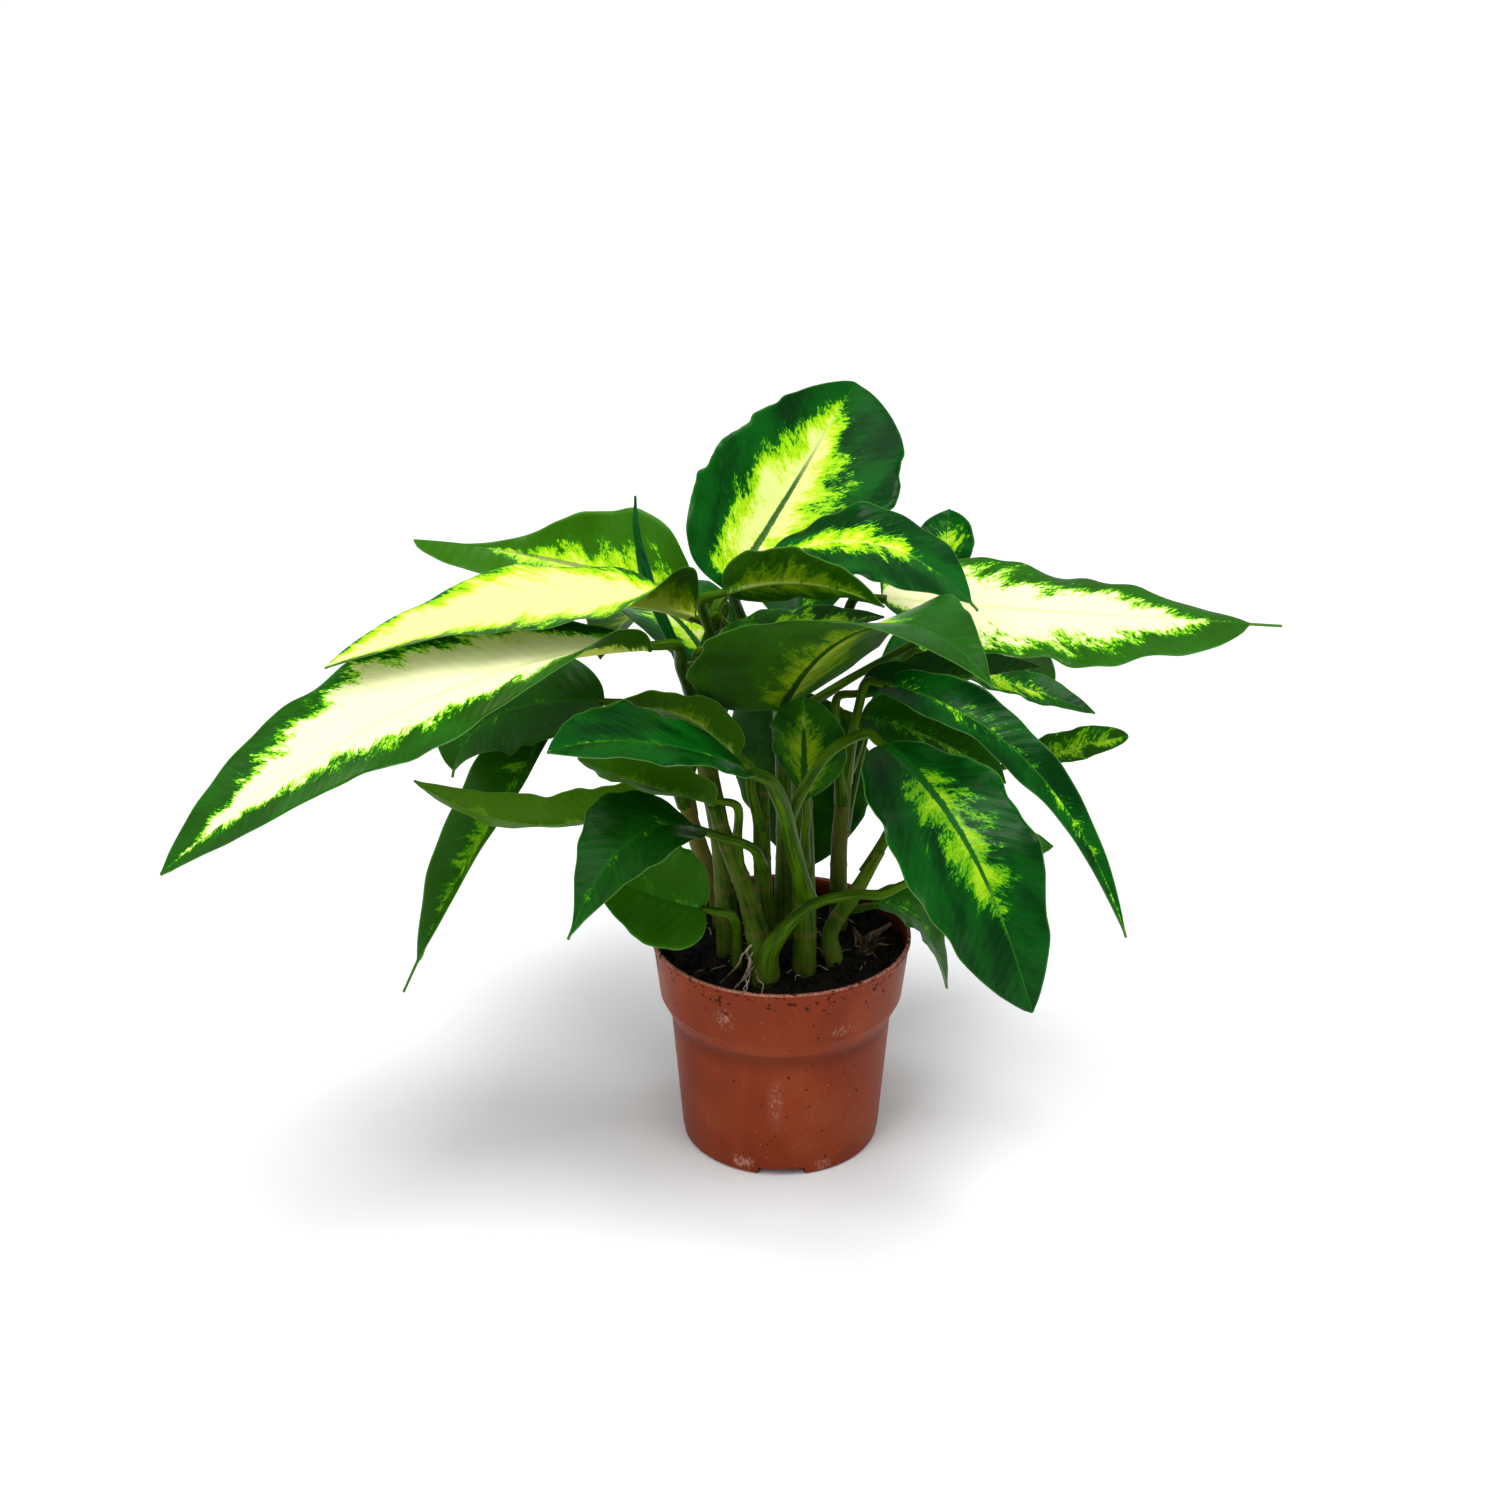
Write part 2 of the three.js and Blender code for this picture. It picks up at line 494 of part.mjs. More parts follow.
// The soil fills the pot; its top is a little uneven and every stem stands in a plain hole.
function soilSolid() {
  const inset = POT_WALL + SOIL_GAP;
  const fill = revolve(potOutline(inset, POT_FLOOR + SOIL_GAP, POT_HEIGHT - 3, inset + 1), 36);
  const lumps = (x, y) =>
    1.2 * Math.sin(x * 0.13 + 1) * Math.cos(y * 0.17) + 0.7 * Math.sin(x * 0.31 - y * 0.27);
  const cover = [];
  const faces = [];
  const sides = 24;
  const radii = [0, 14, 28, 42, 52, 66];
  radii.forEach((r, i) => {
    for (let j = 0; j < (i ? sides : 1); j += 1) {
      const angle = (2 * Math.PI * (j + (i % 2) / 2)) / sides;
      const x = r * Math.cos(angle);
      const y = r * Math.sin(angle);
      cover.push([x, y, SOIL_Z + lumps(x, y) * (i < 4 ? 1 : 0.5)]);
    }
  });
  for (let j = 0; j < sides; j += 1) faces.push([0, 1 + j, 1 + ((j + 1) % sides)]);
  for (let i = 2; i < radii.length; i += 1)
    for (let j = 0; j < sides; j += 1) {
      const a = 1 + (i - 2) * sides + j;
      const b = 1 + (i - 2) * sides + ((j + 1) % sides);
      const odd = i % 2;
      if (odd) faces.push([a, a + sides, b], [b, a + sides, b + sides]);
      else faces.push([a, a + sides, b + sides], [a, b + sides, b]);
    }
  const top = cover.length;
  const raise = cover.map((p) => [p[0], p[1], POT_HEIGHT + 20]);
  const lid = faces.map((f) => [f[0] + top, f[1] + top, f[2] + top]);
  const under = faces.map((f) => [f[0], f[2], f[1]]);
  const edge = 1 + (radii.length - 2) * sides;
  const walls = [];
  for (let j = 0; j < sides; j += 1) {
    const a = edge + j;
    const b = edge + ((j + 1) % sides);
    walls.push([a, b, b + top], [a, b + top, a + top]);
  }
  const air = solid([...cover, ...raise], [...under, ...lid, ...walls]);
  let soil = fill.subtract(drainPockets(POT_WALL + SOIL_GAP)).subtract(air);
  for (const stems of Object.values(SHOOTS)) {
    const [x, y] = stems[0].path[0];
    const radius = stems[0].radii[0] + HOLE_GAP;
    soil = soil.subtract(wasm.Manifold.cylinder(40, radius, radius, 10).translate([x, y, HOLE_FLOOR_Z]));
  }
  return soil;
}

const parts = new THREE.Group();
parts.name = "potted_dieffenbachia";

function add(name, body, colour, roughness) {
  const material = new THREE.MeshStandardMaterial({ color: colour, roughness, metalness: 0 });
  const mesh = new THREE.Mesh(geometryOf(body), material);
  mesh.name = name;
  parts.add(mesh);
}

add("pot", potSolid(), 0x97452c, 0.6);
add("soil", soilSolid(), 0x241a12, 0.95);
for (const [name, stems] of Object.entries(SHOOTS)) {
  const dead = name === "dead_stub";
  add(name, shootSolid(stems), dead ? 0x5a4630 : 0x4f7a2a, dead ? 0.9 : 0.5);
}
for (const [name, leaf] of Object.entries(LEAVES)) add(name, leafSolid(leaf), 0x2f7a35, 0.4);

export default parts;
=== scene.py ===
import bpy
import numpy as np
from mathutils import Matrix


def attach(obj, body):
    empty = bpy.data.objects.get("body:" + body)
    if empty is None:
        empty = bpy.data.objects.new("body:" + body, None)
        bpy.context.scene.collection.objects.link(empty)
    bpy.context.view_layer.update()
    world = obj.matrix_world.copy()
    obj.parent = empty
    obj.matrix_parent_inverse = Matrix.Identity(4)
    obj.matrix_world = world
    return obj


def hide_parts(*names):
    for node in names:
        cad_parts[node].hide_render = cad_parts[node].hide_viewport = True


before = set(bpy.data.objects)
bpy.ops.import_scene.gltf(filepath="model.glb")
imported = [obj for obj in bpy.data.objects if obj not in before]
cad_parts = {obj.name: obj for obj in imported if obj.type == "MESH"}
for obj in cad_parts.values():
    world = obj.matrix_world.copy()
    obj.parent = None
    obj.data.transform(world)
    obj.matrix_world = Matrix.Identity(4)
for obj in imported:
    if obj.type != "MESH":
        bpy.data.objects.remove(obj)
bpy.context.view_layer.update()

MM = 0.001
RANDOM = np.random.default_rng(17)

# ---- driving dimensions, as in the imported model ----
POT_HEIGHT = 103
POT_RIM_R = 60
POT_FOOT_R = 46.4
POT_WALL = 1.2
POT_FLOOR = 1.6
FOOT_BEVEL = 1.2
FLOOR_BEVEL = 1.6
LIP_HEIGHT = 3
LIP_DROP = 2.3
LIP_REACH = 0.6
COLLAR_Z = 74.5
COLLAR_R = 56.4
COLLAR_BEVEL = 0.8
STEP_Z = 64
STEP_R = 51.4
POCKET_COUNT = 4
POCKET_WIDTH = 22
POCKET_HEIGHT = 4
POCKET_DEPTH = 7
SOIL_Z = 95
SOIL_GAP = 0.35
CANE_END_Z = 71
CANE_FREE_Z = 97
BLADE = 0.8
FULL_FOLD_WIDTH = 5
CURL_END = 0.45
LEAF_GAP = 0.5
FIRST_SEED = 1.7
SEED_STEP = 0.618

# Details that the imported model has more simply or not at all.
CRUMB_R = 56
ROOT_R = 55
ROOT_COUNT = 46
CHANNEL = 0.14
SEAM = 0.22
CANE_FLARE = 0.12
SHEATH_FLARE = 0.3
RING_STEP = (11, 19)
RING_COUNT = 12


def new_leaf(path, width, roll, cup, **more):
    """The values of a leaf: the points of its midrib from base to tip, its width, how far it
    leans round the midrib at base and tip, and the cup of its right and left half. In every pair
    for the halves the right one, v < 0, comes first: right seen from above, with the tip ahead.
    One value stands for a pair of equal ones."""
    return dict(path=path, width=width, roll=roll, cup=cup, **more)


LEAVES = {
    1: new_leaf(
        [(-24, 20, 263), (4, 50, 300), (33, 72, 344)], 88, 45, 20,
        belly=(0.62, 0.37), taper=(0.5, 0.7), halves=(1, 0.92), wave=(3, 2.5, 0),
    ),
    2: new_leaf(
        [(-11, -6, 282), (19, -8, 294), (51, -17, 292), (82, -29, 271)], 58, (10, 4), (-20, 14),
        belly=0.55, halves=(1.1, 0.85), drip=0.03, wave=(2, 2.5, 0),
    ),
    3: new_leaf(
        [(-24, -24, 278), (9, -36, 286), (41, -52, 281)], 34, (-60, -50), (20, 10), belly=0.36,
    ),
    4: new_leaf([(-26, -18, 251), (6, -5, 253), (44, -3, 259)], 35, (10, 5), (15, 5)),
    5: new_leaf(
        [(0, -8, 218), (13, -38, 252), (42, -78, 283), (80, -115, 270)], 92, (-8, -2), (5, 8),
        belly=(0.38, 0.37), taper=(1.15, 1.1), halves=(1.2, 1.04), lobe=8,
    ),
    6: new_leaf(
        [(44, 15, 261), (124, 5, 258), (213, -20, 261)], 68, (30, 10), (5, -8),
        fold=-2, wave=(2.4, 3, 1), belly=(0.6, 0.32), taper=(0.5, 0.75), halves=(1.02, 1),
        drip=0.07,
    ),
    7: new_leaf([(72, 55, 245), (76, 68, 265), (78, 80, 282)], 28, 0, 20, belly=0.6),
    8: new_leaf(
        [(-37, 38, 252), (-105, 42, 270), (-163, 27, 284)], 66, (-60, -40), (15, 10),
        belly=(0.26, 0.5), taper=(3.8, 0.4), halves=(0.96, 0.5), wave=(2, 3, 0),
    ),
    9: new_leaf(
        [(-39, -4, 259), (-100, -32, 274), (-185, -80, 265)], 66, (-20, 2), (0, 10),
        curl=(0, 120), belly=(0.5, 0.38), halves=(0.92, 0.96), wave=(2, 2.5, 0),
    ),
    10: new_leaf(
        [(-56, -36, 258), (-150, -84, 250), (-246, -130, 197)], 88, (-20, -16), (5, 15),
        curl=(0, 70), belly=(0.52, 0.46), halves=(0.76, 0.82), wave=(2.5, 3, 0),
    ),
    11: new_leaf(
        [(-79, -5, 220), (-126, -7, 214), (-145, -22, 191)], 64, -22, 10, drip=0.04,
    ),
    12: new_leaf(
        [(-100, -2, 210), (-133, -16, 163), (-172, -28, 87)], 40, (-40, -30), 20,
        fold=38, belly=(0.36, 0.5), drip=0.08, wave=(1.6, 2, 0),
    ),
    13: new_leaf([(-58, -32, 192), (-104, -50, 182), (-154, -68, 210)], 48, (45, 40), 10),
    14: new_leaf([(-15, -80, 220), (-56, -103, 242), (-93, -120, 245)], 58, 0, (10, -10)),
    15: new_leaf([(-30, -52, 194), (-60, -66, 209), (-85, -74, 223)], 38, 40, 10),
    16: new_leaf(
        [(-20, -17, 201), (-49, -31, 227), (-82, -47, 231)], 50, (34, 30), 10, halves=(0.9, 0.68),
    ),
    17: new_leaf(
        [(-36, -60, 184), (-64, -88, 191), (-89, -105, 155)], 50, -10, 15,
        belly=(0.4, 0.42), taper=(1.7, 1.2),
    ),
    18: new_leaf(
        [(-34, -45, 138), (-58, -52, 149), (-82, -58, 164)], 50, (-55, -50), 15, taper=0.7,
    ),
    19: new_leaf(
        [(10, -32, 186), (9, -36, 212), (9, -34, 234)], 38, 0, 16, belly=0.5, taper=0.7, lobe=0,
    ),
    20: new_leaf(
        [(41, -60, 223), (62, -94, 213), (81, -118, 186), (100, -130, 135)], 64, (8, 18), 15,
        belly=0.5, taper=0.78, halves=(1.16, 0.84), wave=(2.4, 3.2, 0.3),
    ),
    21: new_leaf(
        [(45, -20, 234), (77, -42, 229), (114, -58, 200), (146, -75, 140)], 27, (20, 30), 20,
        belly=0.3, taper=0.9, wave=(1.8, 3, 1),
    ),
    22: new_leaf(
        [(105, 30, 174), (131, 25, 184), (158, 20, 193)], 19, (30, 40), 20, belly=0.5, taper=0.55,
    ),
    23: new_leaf([(71, 50, 219), (112, 58, 202), (147, 50, 192)], 25, 20, 15),
    24: new_leaf([(36, 6, 220), (74, 2, 228), (114, 0, 235)], 50, (-44, -34), 10),
    25: new_leaf([(54, -40, 148), (90, -30, 157), (120, -25, 159)], 34, 20, 15),
    26: new_leaf([(43, 5, 114), (64, 8, 104), (78, 0, 73)], 32, 5, 10),
    27: new_leaf([(36, 18, 203), (69, 13, 194), (102, 10, 174)], 42, 30, 10),
    28: new_leaf(
        [(3, 52, 203), (7, 64, 157), (11, 74, 99)], 76, 0, 10, belly=0.5, taper=0.7,
    ),
    29: new_leaf([(-30, 62, 205), (-62, 112, 222), (-92, 158, 178)], 60, 0, 15),
    30: new_leaf([(8, 74, 226), (12, 128, 244), (14, 184, 196)], 64, 0, 15),
    31: new_leaf([(52, 70, 196), (98, 104, 210), (138, 140, 160)], 56, 0, 15),
}


def new_stem(path, radii, to=None, rolled=False):
    """The values of a stem: its points, its radii at even steps, the number of its leaf if it
    is a petiole, and whether it is a rolled young leaf."""
    return dict(path=path, radii=radii, to=to, rolled=rolled)


def petiole(to, path, radii):
    """A stem that runs into the base of the leaf whose number is to."""
    return new_stem(path, radii, to)


def rooted(foot, path, radii, to=None):
    """A stem that stands upright in the soil at its foot and then follows its path."""
    return new_stem([(*foot, CANE_END_Z), (*foot, CANE_FREE_Z), *path], radii, to)


# Each shoot is a cane and the petioles that leave it.
SHOOTS = {
    "shoot_1": [
        rooted((-25, -8), [(-27, -8, 150), (-35, -3, 196), (-42, 0, 236)], [5, 5, 4.5, 3.6]),
        petiole(10, [(-40, -1, 224), (-44, -14, 240)], [3.2, 3, 2.6]),
        petiole(9, [(-40, -1, 224), (-34, -2, 246), (-29, -3, 260)], [3, 2.6, 2.3]),
        petiole(8, [(-39, 0, 219), (-35, 14, 236)], [3, 2.6, 2.3]),
        new_stem(
            [(-40, -1, 224), (-49, 8, 244), (-58, 13, 265),
             (-62, 15, 281), (-64, 15, 294), (-64, 15, 308)],
            [2.2, 2.2, 2.4, 2.6, 1.5, 0.5], rolled=True,
        ),
        petiole(4, [(-38, 1, 216), (-36, 4, 230)], [3, 2.4, 2.2]),
        petiole(3, [(-38, 1, 216), (-31, 4, 241)], [3, 2.8, 2.3]),
    ],
    "shoot_2": [
        rooted((-8, -34), [(-15, -27, 133), (-25, -23, 161), (-30, -22, 178)], [6.4, 5.6, 4.2, 3.4]),
        petiole(13, [(-27, -22, 166), (-33, -23, 186)], [3, 2.6, 2.2]),
        petiole(15, [(-19, -25, 142), (-20, -27, 161)], [3, 2.4, 2]),
        petiole(
            25, [(-7, -35, 99), (-5, -39, 116), (12, -42, 138), (30, -43, 144)],
            [5, 4.4, 3, 2.3],
        ),
    ],
    "shoot_3": [
        rooted((-7, -12), [(-9, -14, 152), (-9, -10, 187)], [4.5, 4.5, 4, 3.4]),
        petiole(17, [(-9, -14, 143), (-14, -40, 166)], [3, 2.4, 2.2]),
        petiole(16, [(-9, -13, 161), (-14, -20, 186)], [3, 2.4, 2.2]),
    ],
    "shoot_4": [
        rooted(
            (10, -24), [(10, -22, 131), (9, -4, 172), (8, 6, 197), (6, 10, 220)],
            [5.5, 5.5, 5, 4.6, 3.8],
        ),
        petiole(14, [(11, -23, 131), (4, -45, 170), (-1, -64, 198)], [4, 3.6, 3.4]),
        petiole(20, [(0, -45, 174), (8, -50, 197), (21, -55, 219)], [2.6, 2.5, 2.4]),
        petiole(19, [(10, -17, 143), (10, -28, 168)], [3, 2.4, 2]),
        petiole(5, [(8, 5, 192), (2, 3, 207)], [3.4, 3, 2.8]),
        petiole(2, [(6, 12, 213), (-8, 17, 234), (-19, 10, 256)], [3.2, 2.8, 2.5]),
    ],
    "shoot_5": [
        rooted((24, -17), [(22, -14, 109), (34, -8, 128), (45, 0, 145)], [4.2, 4.2, 3.6, 2.6]),
        petiole(
            22, [(38, -4, 135), (47, 2, 149), (56, 9, 163), (73, 18, 172)], [2.7, 2.5, 2.3, 2],
        ),
    ],
    "shoot_6": [
        rooted((-20, -22), [(-20, -26, 114)], [3, 3, 2.6, 2.2], to=18),
    ],
    "shoot_7": [
        rooted((-28, 20), [(-31, 18, 116), (-39, 14, 144), (-46, 8, 173)], [4.2, 4.2, 4, 3.2]),
        petiole(12, [(-44, 10, 163), (-58, 4, 198), (-79, 6, 207)], [3, 2.5, 2.2]),
        petiole(11, [(-44, 9, 166), (-49, 7, 196), (-58, 4, 212)], [3, 2.5, 2.2]),
        petiole(29, [(-42, 12, 157), (-42, 36, 169)], [3, 2.4, 2.2]),
    ],
    "shoot_8": [
        rooted((1, 10), [(2, 14, 150), (0, 20, 200), (-3, 24, 228)], [4.8, 4.8, 4.4, 4, 3.4]),
        petiole(1, [(-3, 24, 225), (-17, 24, 238)], [3.2, 2.8, 2.4]),
        petiole(6, [(0, 20, 205), (24, 20, 235)], [3.2, 2.8, 2.4]),
        petiole(7, [(0, 20, 200), (30, 50, 208)], [3, 2.4, 2]),
        petiole(30, [(0, 20, 195), (0, 44, 218)], [3, 2.6, 2.2]),
        petiole(28, [(1, 18, 180), (6, 34, 202)], [3, 2.4, 2]),
    ],
    "shoot_9": [
        rooted((27, 16), [(27, 18, 140), (30, 22, 178)], [4.2, 4.2, 3.8, 3.2]),
        petiole(27, [(29, 21, 168), (28, 21, 186)], [2.8, 2.3, 2]),
        petiole(24, [(28, 20, 160), (24, 8, 205)], [3, 2.5, 2.1]),
        petiole(21, [(29, 21, 170), (34, 2, 215)], [3, 2.5, 2.1]),
        petiole(23, [(30, 22, 175), (46, 38, 208)], [3, 2.5, 2.1]),
        petiole(26, [(27, 17, 104), (28, 12, 111)], [2.8, 2.4, 1.9]),
        petiole(31, [(28, 19, 145), (38, 44, 178)], [3, 2.5, 2.1]),
    ],
    "dead_stub": [
        rooted((38, -6), [(43, -7, 105), (50, -9, 112)], [4, 4, 2.6, 0.7]),
        new_stem([(38, -6, 94), (36, -8, 102), (33, -9, 110)], [3, 2, 0.6]),
        new_stem([(38, -6, 94), (42, -10, 100), (43, -13, 105)], [3, 1.8, 0.5]),
    ],
}

# The pale patch of each leaf: start and end along the midrib, reach towards the right and left
# margin as a share of the half width (one value where both are the same, below 0 for no patch),
# then how creamy it is, how olive the green is (below 0 for a darker green, which on leaves 24
# and 28, deep in the plant, is painted shade), and how dark the stripe on the midrib is.
PATCHES = {
    1: ((-0.1, 0.92), (0.46, 0.5), 0.5, 0, 0.55),
    2: ((0.1, 0.72), (0.2, 0.46), 0.45, 0, 0),
    3: ((-0.1, 0.9), 0.6, 0.35, 0.3, 0.2),
    4: ((0, 0.9), 0.6, 0.6, 0.3, 0.3),
    5: ((-0.1, 0.7), (0.3, 0.44), 0.25, 0.3, 0.8),
    6: ((-0.2, 0.86), 0.72, 0.95, 0.5, 0),
    7: ((0.1, 0.8), 0.3, 0.6, 0, 0),
    8: ((-0.1, 0.74), (0.42, 0.46), 0.35, 0.9, 0.4),
    9: ((-0.2, 1.25), (1.1, 0.8), 0.52, 0.3, 0),
    10: ((-0.1, 0.97), (0.8, 0.5), 0.95, 0.3, 0),
    11: ((0, 0.6), -0.1, 0, 0.4, 0),
    12: ((0.05, 0.75), 0.14, 0.1, 0.6, 0),
    13: ((0, 0.8), 0.1, 0.05, 1, 0),
    14: ((0.15, 0.85), -0.1, 0, -0.2, 0),
    15: ((0, 0.7), 0.2, 0.05, 0.5, 0),
    16: ((0, 0.8), 0.3, 0.2, 0.6, 0),
    17: ((0.1, 0.6), -0.2, 0, 0.15, 0),
    18: ((0.1, 0.7), -0.2, 0, 0.85, 0),
    19: ((0, 0.9), 0.5, 0.2, 0, 1),
    20: ((0.16, 0.78), (0.26, 0.36), 0, -0.3, 1),
    21: ((0.2, 0.75), -0.16, 0.3, -0.1, 0),
    22: ((-0.2, 1.2), 0.3, 0.3, 0.5, 0),
    23: ((0, 0.7), 0.45, 0.35, 0.1, 0),
    # Painted shade: leaf 24 lies deep in the middle of the plant and is darkened for it.
    24: ((0.1, 0.6), -0.1, 0, -0.7, 0),
    25: ((0.1, 0.7), 0.2, 0.15, 0.5, 0),
    26: ((0, 0.7), -0.1, 0, 0.5, 0),
    27: ((0.1, 0.8), 0.1, 0.05, 0.4, 0),
    # Painted shade: leaf 28 is a back leaf in the gap and is darkened for it.
    28: ((0, 0.7), 0.1, 0, -0.2, 0),
    29: ((0.05, 0.85), 0.5, 0.55, 0.1, 0.6),
    30: ((0.05, 0.88), 0.55, 0.7, 0, 0.6),
    31: ((0.1, 0.8), 0.45, 0.45, 0.1, 0.2),
}

# How brown and corky a shoot's cane is: its value here, or YOUNG.
YOUNG = 0.1
CANE_AGE = {"shoot_7": 0.75, "shoot_2": 0.2, "shoot_9": 0.4, "shoot_1": 0.25}

# Loose fibres, each from its start to its end: at the stub's broken end, and the dry roots that
# hang from the front cane.
STUB_FIBRES = [
    ((38, -9, 97), (42, -12, 109)), ((40, -9, 97), (47, -13, 107)), ((36, -9, 97), (33, -12, 108)),
    ((42, -8, 98), (50, -12, 103)), ((39, -9, 96), (44, -16, 98)),
]
HANGING_ROOTS = [
    ((-12, -34, 116), (-17, -50, 96)), ((-13, -36, 112), (-20, -42, 97)),
    ((-11, -36, 110), (-22, -46, 96)), ((-14, -34, 113), (-28, -38, 97)),
    ((-13, -37, 108), (-17, -54, 97)), ((-12, -38, 104), (-8, -48, 96)),
]


# ---- meshes ----
class Shell:
    """Closed surfaces that make up one mesh. Each is a grid of rings, closed round every ring and
    closed by a fan over its first and last ring."""

    def __init__(self):
        self.points = []
        self.faces = []
        self.finish = []
        self.fields = {}
        self.count = 0

    def add(self, rings, finish=0, **fields):
        """rings is rows x columns x 3; the outside is on the right of a ring's direction, seen
        along the rows. finish is a material index, or one for each column. A field has the
        shape of rings and becomes a vector attribute."""
        rows, columns, _ = rings.shape
        grid = self.count + np.arange(rows * columns).reshape(rows, columns)
        nxt = np.roll(grid, -1, axis=1)
        first = np.full(columns, self.count + rows * columns)
        quads = np.stack([grid[:-1], nxt[:-1], nxt[1:], grid[1:]], axis=-1).reshape(-1, 4)
        start = np.stack([first, nxt[0], grid[0]], axis=-1)
        end = np.stack([first + 1, grid[-1], nxt[-1]], axis=-1)
        self.faces += quads.tolist() + start.tolist() + end.tolist()
        self.finish.append(np.tile(np.broadcast_to(finish, columns), rows + 1))
        self.points.append(with_poles(rings))
        for key, value in fields.items():
            self.fields.setdefault(key, []).append(with_poles(value))
        self.count += rows * columns + 2

    def piece(self, name, node, slot, materials):
        """Puts the finished object in the scene. It rides on the part and stands for its CAD node,
        if it has one."""
        mesh = bpy.data.meshes.new(name)
        mesh.from_pydata((np.concatenate(self.points) * MM).tolist(), [], self.faces)
        finish = np.concatenate(self.finish).astype(np.int32)
        mesh.polygons.foreach_set("material_index", finish)
        mesh.polygons.foreach_set("use_smooth", np.ones(len(finish), bool))
        for key, values in self.fields.items():
            layer = mesh.attributes.new(key, "FLOAT_VECTOR", "POINT")
            layer.data.foreach_set("vector", np.concatenate(values).astype(np.float32).ravel())
        for material in materials:
            mesh.materials.append(material)
        mesh.update()
        piece = bpy.data.objects.new(name, mesh)
        bpy.context.scene.collection.objects.link(piece)
        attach(piece, "root")
        if node:
            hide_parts(node)


def with_poles(grid):
    """The grid's values as a list, then the middle of its first and of its last ring."""
    poles = np.stack([grid[0].mean(axis=0), grid[-1].mean(axis=0)])
    return np.concatenate([grid.reshape(-1, grid.shape[-1]), poles])


def unit(vectors):
    return vectors / np.linalg.norm(vectors, axis=-1, keepdims=True)


def smooth(x):
    """0 below 0 and 1 above 1, with a smooth step between."""
    x = np.clip(x, 0, 1)
    return x * x * (3 - 2 * x)


LATTICE = 64
LATTICE_START = (31.7, 17.3)


def lumps(x, y, size, seed):
    """Value noise between -1 and 1: a random number at each corner of a square lattice of the
    given size, joined smoothly between the corners."""
    table = np.random.default_rng(seed).uniform(-1, 1, (LATTICE, LATTICE))
    u, v = x / size + LATTICE_START[0], y / size + LATTICE_START[1]
    i, j = np.floor(u).astype(int), np.floor(v).astype(int)
    a, b = smooth(u - i), smooth(v - j)

    def corner(di, dj):
        return table[(i + di) % LATTICE, (j + dj) % LATTICE]

    low = corner(0, 0) * (1 - a) + corner(1, 0) * a
    high = corner(0, 1) * (1 - a) + corner(1, 1) * a
    return low * (1 - b) + high * b


# ---- shader nodes ----
class Value:
    """A number's socket. Arithmetic on it adds Math nodes to its material."""

    def __init__(self, look, socket):
        self.look = look
        self.socket = socket

    def math(self, operation, *others):
        sockets = dict(enumerate([self, *others]))
        return self.look.node("ShaderNodeMath", sockets, operation=operation)

    def __add__(self, other):
        return self.math("ADD", other)

    def __sub__(self, other):
        return self.math("SUBTRACT", other)

    def __mul__(self, other):
        return self.math("MULTIPLY", other)

    def __truediv__(self, other):
        return self.math("DIVIDE", other)

    def __rsub__(self, other):
        return self.look.node("ShaderNodeMath", {0: other, 1: self}, operation="SUBTRACT")

    __radd__ = __add__
    __rmul__ = __mul__


def srgb(red, green, blue):
    """A colour given as 0 to 255 on a screen, in the linear numbers that shaders take."""
    c = np.array([red, green, blue]) / 255
    return (*np.where(c <= 0.04045, c / 12.92, ((c + 0.055) / 1.055) ** 2.4).tolist(), 1.0)


